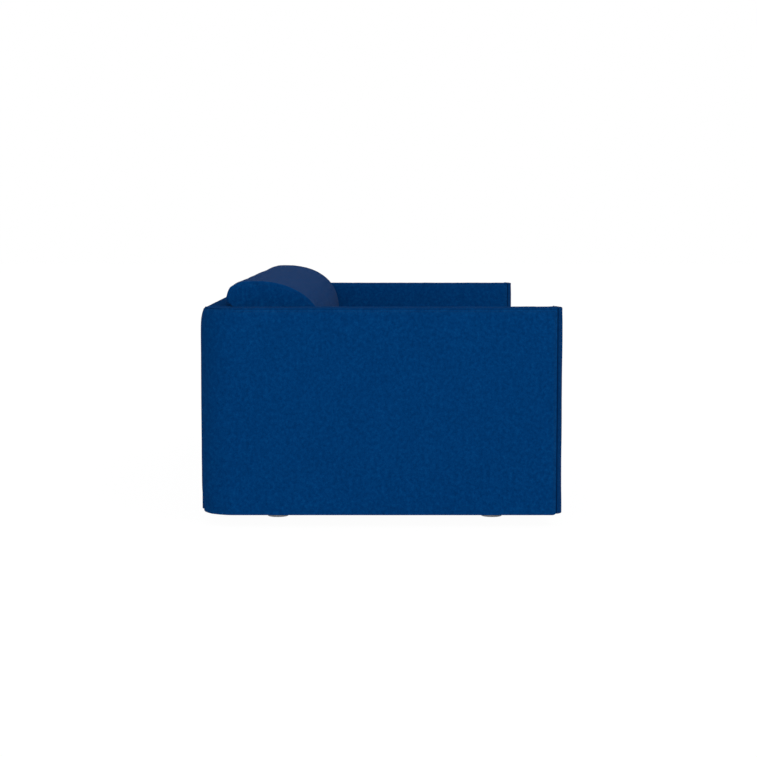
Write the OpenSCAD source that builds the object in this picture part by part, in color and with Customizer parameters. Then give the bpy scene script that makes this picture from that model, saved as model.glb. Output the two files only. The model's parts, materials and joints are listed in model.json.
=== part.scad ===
// Futon sofa bed: an upholstered U-shaped surround (two arms and a back) around a slatted base.
// A front section with its own slats pulls forward between the fixed slats, the top futon pad
// folds over onto it, and the two loose back cushions lift away.
// +X is the sitter's left-to-right seen from the front, +Y is the rear, +Z is up, floor at z = 0.

/* [Overall] */
// Width over both arms
overall_w = 2140; // [1900:10:2400]
// Depth from the back to the crown of the arm fronts
overall_d = 1051; // [1001:5:1121]
// Height of the arms and the back above the floor
arm_top = 636; // [626:2:646]
// Height of the feet, which is the clearance under the surround
foot_h = 37; // [34:1:44]

/* [Surround] */
// Thickness of an arm
arm_t = 120; // [116:2:140]
// Radius of the rear outer corner of an arm
arm_corner_r = 100; // [80:2:104]
// How far the front of an arm bulges in front of its side seams
arm_crown = 15; // [8:1:20]
// Thickness of the back
back_t = 90; // [84:2:100]
// Radius along the top edges
top_edge_r = 6; // [4:1:14]
// Thickness of the woven cover
cover_t = 2; // [1.5:0.5:3]

/* [Bed] */
// Thickness of one futon pad
pad_t = 118; // [100:1:125]
// Height of the slats' top face
slat_top = 200; // [196:1:206]
// Number of fixed slats
fixed_slat_count = 14; // [10:1:14]

/* [Back cushions] */
// Thickness of a back cushion from front to rear
cushion_d = 268; // [240:2:280]
// Top of a back cushion above the floor
cushion_top = 712; // [700:1:730]

/* [Feet and wheels] */
// Radius of a round foot
foot_r = 31; // [25:1:35]
// Distance of a foot's centre from the side of the sofa
foot_from_side = 216; // [190:2:240]
// Distance of a rear foot's centre from the rear
foot_from_rear = 216; // [190:2:240]
// Distance of a front foot's centre from the crown of the arm fronts
foot_from_front = 192; // [180:2:240]
// Radius of a floor wheel under the front section
wheel_r = 22; // [18:1:22]

/* [Hidden] */

// Clearance between layers that touch in the real object
fit = 0.5;
// Clearance between things that move past each other
run = 1;
$fn = 48;

rear_y = overall_d / 2;
front_y = -rear_y;
half_w = overall_w / 2;
arm_in = half_w - arm_t;                      // inner face of an arm
arm_mid = half_w - arm_t / 2;
seam_y = front_y + arm_crown;                 // where an arm's side face meets its crowned front
crown_r = (pow(arm_t / 2, 2) + pow(arm_crown, 2)) / (2 * arm_crown);
crown_y = front_y + crown_r;
back_front = rear_y - back_t;                 // front face of the back

frame_gap = 25;                               // foam over the faces of the timber frames
board_t = 4;                                  // hardboard skins of the frames
rail_h = 30;
post_w = 40;
frame_bottom = foot_h + 2;
arm_frame = [half_w - frame_gap, arm_in + frame_gap, seam_y + 28, rear_y - 68, arm_top - 27];
back_frame_y = [back_front + 18, rear_y - 18];
back_frame_x = arm_in - 20;
back_posts = [-600, -200, 200, 600];

rail_t = 28;
rail_z = [62, slat_top - 18];                 // bottom and top of the base rails
rail_x = arm_in - 1;                          // outer face of the side rails
rail_in = rail_x - rail_t;
rail_y = [seam_y + 62, back_front - 1.5];
bearer_w = 90;
bearer_x = half_w - foot_from_side;
foot_y = [front_y + foot_from_front, rear_y - foot_from_rear];
arm_posts = [rail_y[0] + 100, 0, rail_y[1] - 100];  // depth positions of the bolted posts
stud_r = 4;
bolt_z = 105;
bolt_r = 4;

slat_t = 18;
slat_w = 56;
slat_edge = rail_in - 34;                     // centre of the outermost fixed slat
slat_pitch = 2 * slat_edge / (fixed_slat_count - 1);

bed_half = arm_in - 6;                        // half length of the pads and the front section
board_y = [seam_y + 8.5, seam_y + 26.5];      // front and rear face of the moving front board
ledger_y = [board_y[1], board_y[1] + 24];
cross_z = [slat_top - slat_t - 40, slat_top - slat_t];
valance_t = 8;                                // foam and cover in front of the board
valance_y = board_y[0] - valance_t;
rebate = 2;                                   // rail tops are cut down this far under slats that pass over them

pad_z = slat_top + run;                       // underside of the lower pad
fold_z = pad_z + pad_t + run;                 // axis that the top pad folds about
fold_y = seam_y + 1.5;
pad_front = fold_y + 4;
welt_r = 3.5;
cushion_y = [back_front - 1 - cushion_d, back_front - 1];
lower_pad = [pad_front, back_front - 2.5, pad_z];
upper_pad = [pad_front, cushion_y[0] - 3, fold_z + run];
pad_edge_r = 16;
skin_t = 1.6;                                 // cover of a pad or cushion
zip_h = 8;
cushion_z = fold_z;
cushion_gap = 2;

// The front section travels until its face is under the front edge of the folded-out pad
pull_out = valance_y - 2 * fold_y + upper_pad[1];
moving_rail_w = 40;
// At full travel the moving rear rail stops 10 mm behind the fixed front rail
moving_rail_y = rail_y[0] + rail_t + 10 + pull_out;

channel_x = [rail_in, rail_in - 18];
channel_z = cross_z[0] + 20;                  // height of the guide roller axis
channel_h = 36;
channel_wall = 2.5;
roller_r = 15;
roller_x = [rail_in - 5, rail_in - 15];
roller_y = moving_rail_y + moving_rail_w / 2;
axle_r = 4;
wheel_x = 620;
wheel_y = ledger_y[0] + 17;
wheel_w = 20;

blue = [0.01, 0.21, 0.43];
foam_cream = [0.93, 0.88, 0.72];
pine = [0.82, 0.66, 0.44];
birch = [0.88, 0.76, 0.55];
steel = [0.72, 0.73, 0.75];

// ---- helpers ----

function arc(c, r, a0, a1, n = 8) = [for (i = [0:n])
    let (t = a0 + (a1 - a0) * i / n) c + r * [cos(t), sin(t)]];

// One quadrant of a superellipse with power p, from angle a0 to a1
function bow(c, a, b, a0, a1, p = 2, n = 12) = [for (i = [0:n])
    let (t = a0 + (a1 - a0) * i / n, x = cos(t), y = sin(t))
    c + [sign(x) * a * pow(abs(x), 2 / p), sign(y) * b * pow(abs(y), 2 / p)]];

module block(x, y, z) {
    translate([min(x), min(y), min(z)])
        cube([abs(x[1] - x[0]), abs(y[1] - y[0]), abs(z[1] - z[0])]);
}

// Extrudes a [depth, height] outline along the width
module along_x(x, points) {
    translate([min(x), 0, 0]) rotate([90, 0, 90]) linear_extrude(abs(x[1] - x[0])) polygon(points);
}

// Extrudes a [width, height] outline along the depth
module along_y(y, points) {
    translate([0, max(y), 0]) rotate([90, 0, 0]) linear_extrude(abs(y[1] - y[0])) polygon(points);
}

module rod_x(x, y, z, r) {
    translate([min(x), y, z]) rotate([0, 90, 0]) cylinder(h = abs(x[1] - x[0]), r = r);
}

module rod_y(x, y, z, r) {
    translate([x, max(y), z]) rotate([90, 0, 0]) cylinder(h = abs(y[1] - y[0]), r = r);
}

module both_sides(side) {
    if (side > 0) children();
    else mirror([1, 0, 0]) children();
}

// ---- arms, drawn on the +X side ----

function arm_outline(d) = let (
    r = crown_r - d, half = asin((arm_t / 2 - d) / r), corner = arm_corner_r - d)
    concat(arc([arm_mid, crown_y], r, 270 - half, 270 + half, 12),
           arc([half_w - arm_corner_r, rear_y - arm_corner_r], corner, 0, 90, 12),
           [[arm_in + d, rear_y - d]]);

function arm_section(d) = let (r = max(top_edge_r - d, 1), x = [arm_in + d, half_w - d], z = arm_top - d)
    concat([[x[0], 0], [x[1], 0]], arc([x[1] - r, z - r], r, 0, 90, 5), arc([x[0] + r, z - r], r, 90, 180, 5));

module arm_block(d, z0) {
    intersection() {
        translate([0, 0, z0]) linear_extrude(arm_top - z0) polygon(arm_outline(d));
        along_y([front_y - 5, rear_y + 5], arm_section(d));
    }
}

module arm_bolt_holes() {
    for (y = arm_posts) rod_x([rail_in - 1, arm_in + 70.2], y, bolt_z, bolt_r + fit);
}

module arm_frame(side) color(pine) both_sides(side) {
    x = [arm_frame[1], arm_frame[0]];
    y = [arm_frame[2], arm_frame[3]];
    z = [frame_bottom, arm_frame[4]];
    core = [x[0] + board_t, x[1] - board_t];
    difference() {
        block([x[0], core[0]], y, z);
        arm_bolt_holes();
    }
    block([core[1], x[1]], y, z);
    block(core, y, [z[0], z[0] + rail_h]);
    block(core, y, [z[1] - rail_h, z[1]]);
    for (p = arm_posts) difference() {
        block(core, [p - post_w / 2, p + post_w / 2], [z[0] + rail_h, z[1] - rail_h]);
        arm_bolt_holes();
    }
    block(core, [y[0], y[0] + rail_h], [z[0] + rail_h, z[1] - rail_h]);
    block(core, [y[1] - rail_h, y[1]], [z[0] + rail_h, z[1] - rail_h]);
}

module arm_foam(side) color(foam_cream) both_sides(side) {
    d = cover_t + fit;
    outer = [arm_in - 10, half_w + 10];
    x = [arm_frame[1] - fit, arm_frame[0] + fit];
    y = [arm_frame[2] - fit, arm_frame[3] + fit];
    top = arm_frame[4] + fit;
    // outer slab, inner slab, top strip, front strip and rear block, as glued on in sheets
    intersection() {
        arm_block(d, frame_bottom);
        block([x[1], outer[1]], y, [0, top]);
    }
    difference() {
        intersection() {
            arm_block(d, frame_bottom);
            block([outer[0], x[0]], y, [0, top]);
        }
        arm_bolt_holes();
    }
    intersection() {
        arm_block(d, frame_bottom);
        block(outer, y, [top + fit, arm_top]);
    }
    intersection() {
        arm_block(d, frame_bottom);
        block(outer, [front_y - 5, y[0] - fit], [0, arm_top]);
    }
    intersection() {
        arm_block(d, frame_bottom);
        block(outer, [y[1] + fit, rear_y + 5], [0, arm_top]);
    }
}

module arm_cover(side) color(blue) both_sides(side) difference() {
    arm_block(0, foot_h);
    arm_block(cover_t, foot_h - 5);
    arm_bolt_holes();
}

// ---- back ----

function back_section(d) = let (r = max(top_edge_r - d, 1), y = [back_front + d, rear_y - d], z = arm_top - d)
    concat([[y[0], 0], [y[1], 0]], arc([y[1] - r, z - r], r, 0, 90, 5), arc([y[0] + r, z - r], r, 90, 180, 5));

module back_block(d, z0) {
    x = arm_in - fit - d;
    intersection() {
        along_x([-x, x], back_section(d));
        block([-x, x], [0, rear_y + 5], [z0, arm_top]);
    }
}

module back_bolt_holes() {
    for (x = back_posts) rod_y(x, [rail_y[1] - rail_t - 1, back_frame_y[1] - 12], bolt_z, bolt_r + fit);
}

module back_frame() color(pine) {
    x = [-back_frame_x, back_frame_x];
    z = [frame_bottom, arm_frame[4]];
    core = [back_frame_y[0] + board_t, back_frame_y[1] - board_t];
    difference() {
        block(x, [back_frame_y[0], core[0]], z);
        back_bolt_holes();
    }
    block(x, [core[1], back_frame_y[1]], z);
    block(x, core, [z[0], z[0] + rail_h]);
    block(x, core, [z[1] - rail_h, z[1]]);
    for (p = back_posts) difference() {
        block([p - post_w / 2, p + post_w / 2], core, [z[0] + rail_h, z[1] - rail_h]);
        back_bolt_holes();
    }
    for (s = [-1, 1])
        block([s * back_frame_x, s * (back_frame_x - rail_h)], core, [z[0] + rail_h, z[1] - rail_h]);
}

module back_foam() color(foam_cream) {
    d = cover_t + fit;
    x = arm_in - fit - d;
    y = [back_frame_y[0] - fit, back_frame_y[1] + fit];
    top = arm_frame[4] + fit;
    difference() {
        block([-x, x], [back_front + d, y[0]], [frame_bottom, top]);
        back_bolt_holes();
    }
    block([-x, x], [y[1], rear_y - d], [frame_bottom, top]);
    intersection() {
        back_block(d, frame_bottom);
        block([-x, x], [0, rear_y], [top + fit, arm_top]);
    }
    for (s = [-1, 1])
        block([s * x, s * (back_frame_x + fit)], [y[0] + fit, y[1] - fit], [frame_bottom, top]);
}

module back_cover() color(blue) difference() {
    back_block(0, foot_h);
    back_block(cover_t, foot_h - 5);
    back_bolt_holes();
}

// Non-woven cloth stapled under the surround and the base, with a cut-out at each foot
module underside_cloth() color([0.08, 0.08, 0.09]) {
    edge = half_w - 8;
    corner = arm_corner_r - 8;
    half = concat(
        [[0, rail_y[0]], [arm_in + 8, rail_y[0]], [arm_in + 8, seam_y + 8], [edge, seam_y + 8]],
        arc([edge - corner, rear_y - 8 - corner], corner, 0, 90, 6), [[0, rear_y - 8]]);
    difference() {
        translate([0, 0, foot_h - 1.2]) linear_extrude(1) union() {
            polygon(half);
            mirror([1, 0]) polygon(half);
        }
        for (x = [-bearer_x, 0, bearer_x], y = foot_y)
            translate([x, y, 0]) cylinder(h = foot_h + 5, r = foot_r + 1);
    }
}

// ---- base ----

module base_side_rail(side) color(pine) both_sides(side) difference() {
    block([rail_in, rail_x], rail_y, rail_z);
    arm_bolt_holes();
}

module base_front_rail() color(pine) difference() {
    block([-rail_in + fit, rail_in - fit], [rail_y[0], rail_y[0] + rail_t], rail_z);
    for (x = moving_slat_x) rebate_under(x, [rail_y[0] - 1, rail_y[0] + rail_t + 1]);
}

module base_rear_rail() color(pine) difference() {
    block([-rail_in + fit, rail_in - fit], [rail_y[1] - rail_t, rail_y[1]], rail_z);
    back_bolt_holes();
}

module base_bearer(x) color(pine) difference() {
    block([x - bearer_w / 2, x + bearer_w / 2], rail_y, [foot_h, rail_z[0]]);
    for (y = foot_y) translate([x, y, foot_h - 1]) cylinder(h = rail_z[0], r = stud_r + 0.1);
}

module corner_brackets() color(steel) {
    leg = 40;
    z = [rail_z[0] + 4, rail_z[0] + 64];
    for (sx = [-1, 1], sy = [0, 1]) {
        x = sx * (rail_in - fit);
        y = sy == 0 ? rail_y[0] + rail_t : rail_y[1] - rail_t;
        dy = sy == 0 ? 1 : -1;
        union() {
            block([x, x - sx * leg], [y, y + dy * 3], z);
            block([x, x - sx * 3], [y, y + dy * leg], z);
        }
    }
}

module bolt_x(side, y) both_sides(side) {
    rod_x([rail_in, arm_in + 70], y, bolt_z, bolt_r);
    rod_x([rail_in - 1.6, rail_in], y, bolt_z, 11);
    translate([rail_in - 7.6, y, bolt_z]) rotate([0, 90, 0]) cylinder(h = 6, r = 7.5, $fn = 6);
}

module arm_bolts() color(steel)
    for (side = [-1, 1], y = arm_posts) bolt_x(side, y);

module back_bolts() color(steel)
    for (x = back_posts) {
        head = rail_y[1] - rail_t;
        rod_y(x, [head, back_frame_y[1] - 14], bolt_z, bolt_r);
        rod_y(x, [head - 1.6, head], bolt_z, 11);
        translate([x, head - 1.6, bolt_z]) rotate([90, 0, 0]) cylinder(h = 6, r = 7.5, $fn = 6);
    }

fixed_slat_x = [for (i = [0:fixed_slat_count - 1]) -slat_edge + i * slat_pitch];
moving_slat_x = [for (i = [0:fixed_slat_count - 2]) -slat_edge + (i + 0.5) * slat_pitch];

// Cuts the top of a rail down under a slat that has to pass over it
module rebate_under(x, y)
    block([x - slat_w / 2 - 5, x + slat_w / 2 + 5], y, [cross_z[1] - rebate, cross_z[1] + 1]);

module slat(x, y) color(birch) block([x - slat_w / 2, x + slat_w / 2], y, [slat_top - slat_t, slat_top]);

module fixed_slats()
    for (x = fixed_slat_x) slat(x, [board_y[1] + 6, rail_y[1] - 3]);

module guide_channel(side) color(steel) both_sides(side) {
    y = [rail_y[0] + rail_t + 2, rail_y[1] - rail_t - 2];
    z = [channel_z - channel_h / 2, channel_z + channel_h / 2];
    union() {
        block([channel_x[0], channel_x[0] - channel_wall], y, z);
        block(channel_x, y, [z[0], z[0] + channel_wall]);
        block(channel_x, y, [z[1] - channel_wall, z[1]]);
    }
}

// ---- feet ----

module foot(x, y) color([0.85, 0.86, 0.88]) translate([x, y, 0]) rotate_extrude($fn = 96) polygon([
    [0, 2], [foot_r - 2, 2], [foot_r, 4], [foot_r, foot_h - 3], [foot_r - 1, foot_h - 2],
    [foot_r - 1, foot_h], [stud_r, foot_h], [stud_r, rail_z[0] - 4], [0, rail_z[0] - 4]]);

module foot_glides() color([0.15, 0.15, 0.16])
    for (x = [-bearer_x, bearer_x], y = foot_y) translate([x, y, 0]) cylinder(h = 2, r = foot_r - 5);

module centre_feet() color([0.12, 0.12, 0.13])
    for (y = foot_y) translate([0, y, 0]) rotate_extrude($fn = 64) polygon([
        [0, 0], [18, 0], [20, 2], [24, foot_h - 6], [24, foot_h],
        [stud_r, foot_h], [stud_r, rail_z[0] - 4], [0, rail_z[0] - 4]]);

// ---- futon pads ----

// Rounded outline of a pad in [depth, height]; pad is [front, rear, underside]
function pad_section(pad, d) = let (
    r = pad_edge_r - d, y = [pad[0] + d, pad[1] - d], z = [pad[2] + d, pad[2] + pad_t - d])
    concat(arc([y[0] + r, z[0] + r], r, 180, 270, 6), arc([y[1] - r, z[0] + r], r, 270, 360, 6),
           arc([y[1] - r, z[1] - r], r, 0, 90, 6), arc([y[0] + r, z[1] - r], r, 90, 180, 6));

module pad_block(pad, d) along_x([-bed_half + d, bed_half - d], pad_section(pad, d));

// The zip lies in a slot in the rear face, at mid height
function pad_zip_z(pad) = pad[2] + pad_t / 2;

module pad_zip_slot(pad, play) {
    block([-bed_half + 60 - play, bed_half - 60 + play], [pad[1] - skin_t - play, pad[1] + play],
          [pad_zip_z(pad) - zip_h / 2 - play, pad_zip_z(pad) + zip_h / 2 + play]);
}

module pad_core(pad) color([0.94, 0.92, 0.86]) pad_block(pad, skin_t + fit);

module pad_cover(pad) color(blue) difference() {
    pad_block(pad, 0);
    pad_block(pad, skin_t);
    pad_zip_slot(pad, 0.2);
}

// Tape and teeth, then the slider at one end of them
module pad_zip(pad) color([0.02, 0.03, 0.1]) {
    end = bed_half - 60;
    z = pad_zip_z(pad);
    block([-end, end - 20], [pad[1] - skin_t, pad[1]], [z - zip_h / 2, z + zip_h / 2]);
    block([end - 19, end], [pad[1] - skin_t, pad[1]], [z - 3.5, z + 3.5]);
}

// Piping cord along the fold, sewn to both pads
module fold_welt() color(blue) rod_x([-bed_half, bed_half], fold_y, fold_z, welt_r);

// ---- pull-out front section ----

module pullout_front_board() color(birch)
    block([-bed_half + 4, bed_half - 4], board_y, [52, slat_top - 6]);

module valance_foam() color(foam_cream)
    block([-bed_half + 4, bed_half - 4], [valance_y + 2, board_y[0] - fit], [52, slat_top - 6]);

module valance_cover() color(blue) difference() {
    block([-bed_half, bed_half], [valance_y, board_y[1]], [49, slat_top - 3]);
    block([-bed_half + 3, bed_half - 3], [valance_y + 1.5, board_y[1] + 1], [51.5, slat_top - 5.5]);
}

module pull_tabs() color(blue)
    for (x = [-420, 420])
        block([x - 20, x + 20], [valance_y - 2.3, valance_y - 0.3], [slat_top - 90, slat_top - 10]);

module pullout_ledger() color(pine) difference() {
    block([-rail_in + 30, rail_in - 30], ledger_y + [fit, 0], cross_z);
    for (x = fixed_slat_x) rebate_under(x, ledger_y + [-1, 1]);
}

module pullout_rear_rail() color(pine) difference() {
    block([-channel_x[1] + 5, channel_x[1] - 5], [moving_rail_y, moving_rail_y + moving_rail_w], cross_z);
    for (x = fixed_slat_x) rebate_under(x, [moving_rail_y - 1, moving_rail_y + moving_rail_w + 1]);
    for (s = [-1, 1]) both_sides(s)
        rod_x([channel_x[1] - 45, channel_x[1]], roller_y, channel_z, axle_r + 0.1);
}

module pullout_slats()
    for (x = moving_slat_x) slat(x, [board_y[1] + fit, moving_rail_y + moving_rail_w]);

module roller_axles() color(steel)
    for (s = [-1, 1]) both_sides(s)
        rod_x([channel_x[1] - 45, roller_x[0] + 1], roller_y, channel_z, axle_r);

module roller(side) color(steel) both_sides(side) difference() {
    rod_x(roller_x, roller_y, channel_z, roller_r);
    rod_x([roller_x[0] + 1, roller_x[1] - 1], roller_y, channel_z, axle_r + 0.05);
}

module wheel_bracket(x) {
    gap = wheel_w / 2 + 1.5;
    z = [wheel_r - 8, cross_z[0]];
    y = [wheel_y - 12, wheel_y + 12];
    difference() {
        union() {
            block([x - gap - 2.5, x - gap], y, z);
            block([x + gap, x + gap + 2.5], y, z);
            block([x - gap - 2.5, x + gap + 2.5], y, [z[1] - 3, z[1]]);
        }
        rod_x([x - gap - 5, x + gap + 5], wheel_y, wheel_r, axle_r + 0.1);
    }
}

module wheel_brackets() color(steel) for (s = [-1, 1]) wheel_bracket(s * wheel_x);

module wheel_axles() color(steel)
    for (s = [-1, 1]) {
        half = wheel_w / 2 + 5.5;
        rod_x([s * wheel_x - half, s * wheel_x + half], wheel_y, wheel_r, axle_r);
    }

module wheel(side) color([0.2, 0.2, 0.22]) translate([side * wheel_x, wheel_y, wheel_r]) rotate([0, 90, 0])
    rotate_extrude($fn = 96) polygon(let (w = wheel_w / 2, bore = axle_r + 0.05) [
        [bore, -w - 1], [9, -w - 1], [9, -w + 2], [wheel_r - 5, -w + 2], [wheel_r - 3, -w], [wheel_r - 1.5, -w],
        [wheel_r, -w + 1.5], [wheel_r, w - 1.5], [wheel_r - 1.5, w], [wheel_r - 3, w], [wheel_r - 5, w - 2],
        [9, w - 2], [9, w + 1], [bore, w + 1]]);

// ---- back cushions ----

// Upright rear, high rounded shoulder that leans over the back, and a long bowed front
function cushion_section(d) = let (
    crest = [back_front - 61.5, cushion_top - 160],
    front_a = crest[0] - cushion_y[0], front_b = cushion_top - crest[1],
    shoulder = [crest[0], arm_top + 15], rear_a = 83, rear_b = cushion_top - shoulder[1],
    step = arm_top + 3 + d)
    concat(
        arc([cushion_y[0] + 30, cushion_z + 30], 30 - d, 180, 270, 5),
        arc([cushion_y[1] - 20, cushion_z + 20], 20 - d, 270, 360, 5),
        [[cushion_y[1] - d, step], [shoulder[0] + rear_a - 12, step]],
        bow(shoulder, rear_a - d, rear_b - d, 0, 90, 3, 10),
        bow(crest, front_a - d, front_b - d, 96, 180, 2.15, 14));

function cushion_x(side) = side > 0 ? [cushion_gap, bed_half] : [-bed_half, -cushion_gap];

module cushion_block(side, d) along_x(cushion_x(side) + [d, -d], cushion_section(d));

module cushion_zip_slot(side, play) {
    x = cushion_x(side);
    block([x[0] + 50 - play, x[1] - 50 + play], [cushion_y[1] - 60 - play, cushion_y[1] - 52 + play],
          [cushion_z - play, cushion_z + skin_t + play]);
}

module cushion_core(side) color([0.95, 0.94, 0.9]) cushion_block(side, skin_t + fit);

module cushion_cover(side) color(blue) difference() {
    cushion_block(side, 0);
    cushion_block(side, skin_t);
    cushion_zip_slot(side, 0.2);
}

module cushion_zip(side) color([0.02, 0.03, 0.1]) {
    x = cushion_x(side);
    y = [cushion_y[1] - 60, cushion_y[1] - 52];
    z = [cushion_z, cushion_z + skin_t];
    block([x[0] + 50, x[1] - 70], y, z);
    block([x[1] - 69, x[1] - 50], y + [0.5, -0.5], z);
}

// ---- nodes ----

arm_frame(-1);  // arm_left_frame
arm_foam(-1);  // arm_left_foam
arm_cover(-1);  // arm_left_cover
arm_frame(1);  // arm_right_frame
arm_foam(1);  // arm_right_foam
arm_cover(1);  // arm_right_cover
back_frame();
back_foam();
back_cover();
underside_cloth();
base_side_rail(-1);  // base_side_rail_left
base_side_rail(1);  // base_side_rail_right
base_front_rail();
base_rear_rail();
base_bearer(-bearer_x);  // base_bearer_left
base_bearer(0);  // base_bearer_centre
base_bearer(bearer_x);  // base_bearer_right
corner_brackets();
arm_bolts();
back_bolts();
fixed_slats();
guide_channel(-1);  // guide_channel_left
guide_channel(1);  // guide_channel_right
foot(-bearer_x, foot_y[0]);  // foot_front_left
foot(bearer_x, foot_y[0]);  // foot_front_right
foot(-bearer_x, foot_y[1]);  // foot_rear_left
foot(bearer_x, foot_y[1]);  // foot_rear_right
foot_glides();
centre_feet();
pad_core(lower_pad);  // lower_pad_core
pad_cover(lower_pad);  // lower_pad_cover
pad_zip(lower_pad);  // lower_pad_zip
fold_welt();
pullout_front_board();
valance_foam();
valance_cover();
pull_tabs();
pullout_ledger();
pullout_rear_rail();
pullout_slats();
roller_axles();
wheel_brackets();
wheel_axles();
roller(-1);  // roller_left
roller(1);  // roller_right
wheel(-1);  // wheel_left
wheel(1);  // wheel_right
pad_core(upper_pad);  // upper_pad_core
pad_cover(upper_pad);  // upper_pad_cover
pad_zip(upper_pad);  // upper_pad_zip
cushion_core(-1);  // cushion_left_core
cushion_cover(-1);  // cushion_left_cover
cushion_zip(-1);  // cushion_left_zip
cushion_core(1);  // cushion_right_core
cushion_cover(1);  // cushion_right_cover
cushion_zip(1);  // cushion_right_zip
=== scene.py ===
"""Futon sofa bed: the looks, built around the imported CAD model."""

import json
import math
from contextlib import contextmanager

import bmesh
import bpy
import numpy as np
from mathutils import Matrix, Vector, noise
from mathutils.bvhtree import BVHTree

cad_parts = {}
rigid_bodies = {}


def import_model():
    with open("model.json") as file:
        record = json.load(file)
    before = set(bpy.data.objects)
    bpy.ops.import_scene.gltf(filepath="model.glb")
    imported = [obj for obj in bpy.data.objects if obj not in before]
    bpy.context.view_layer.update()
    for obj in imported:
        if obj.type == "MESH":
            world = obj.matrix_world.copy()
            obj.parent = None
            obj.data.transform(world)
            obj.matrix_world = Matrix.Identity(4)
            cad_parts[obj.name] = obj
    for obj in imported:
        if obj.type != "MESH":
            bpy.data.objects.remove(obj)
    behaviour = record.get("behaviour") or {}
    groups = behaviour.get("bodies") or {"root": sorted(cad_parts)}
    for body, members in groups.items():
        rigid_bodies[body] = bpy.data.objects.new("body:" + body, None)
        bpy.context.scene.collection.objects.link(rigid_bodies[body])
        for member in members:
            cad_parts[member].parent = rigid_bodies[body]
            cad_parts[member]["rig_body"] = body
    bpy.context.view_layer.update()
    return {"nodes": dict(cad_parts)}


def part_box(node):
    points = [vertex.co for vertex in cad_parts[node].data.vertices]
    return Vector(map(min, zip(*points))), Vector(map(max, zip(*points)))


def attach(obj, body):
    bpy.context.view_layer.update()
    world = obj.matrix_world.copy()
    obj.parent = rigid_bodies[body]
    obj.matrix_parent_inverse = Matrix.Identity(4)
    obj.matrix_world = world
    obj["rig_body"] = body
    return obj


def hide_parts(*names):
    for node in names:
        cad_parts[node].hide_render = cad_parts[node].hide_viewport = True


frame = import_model()

SCENE = bpy.context.scene
SIDES = (("left", -1.0), ("right", 1.0))

# ---------------------------------------------------------------- sizes, in metres, from the CAD boxes


def span(node):
    lo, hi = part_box(node)
    return np.array(lo), np.array(hi)


ARM_LO, ARM_HI = span("arm_right_cover")
BACK_LO, BACK_HI = span("back_cover")
ARM_CORNER_R = 0.1     # rear outer corner, seen from above
ARM_CROWN = 0.0162     # how far the front stands forward of its side seams
ARM_EDGE = 0.005       # rounding of the edges of the arms and the back
SEAM_Y = ARM_LO[1] + ARM_CROWN
HEM_BAND = 0.02        # height over which the hem is shaped

# ---------------------------------------------------------------- node materials


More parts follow.
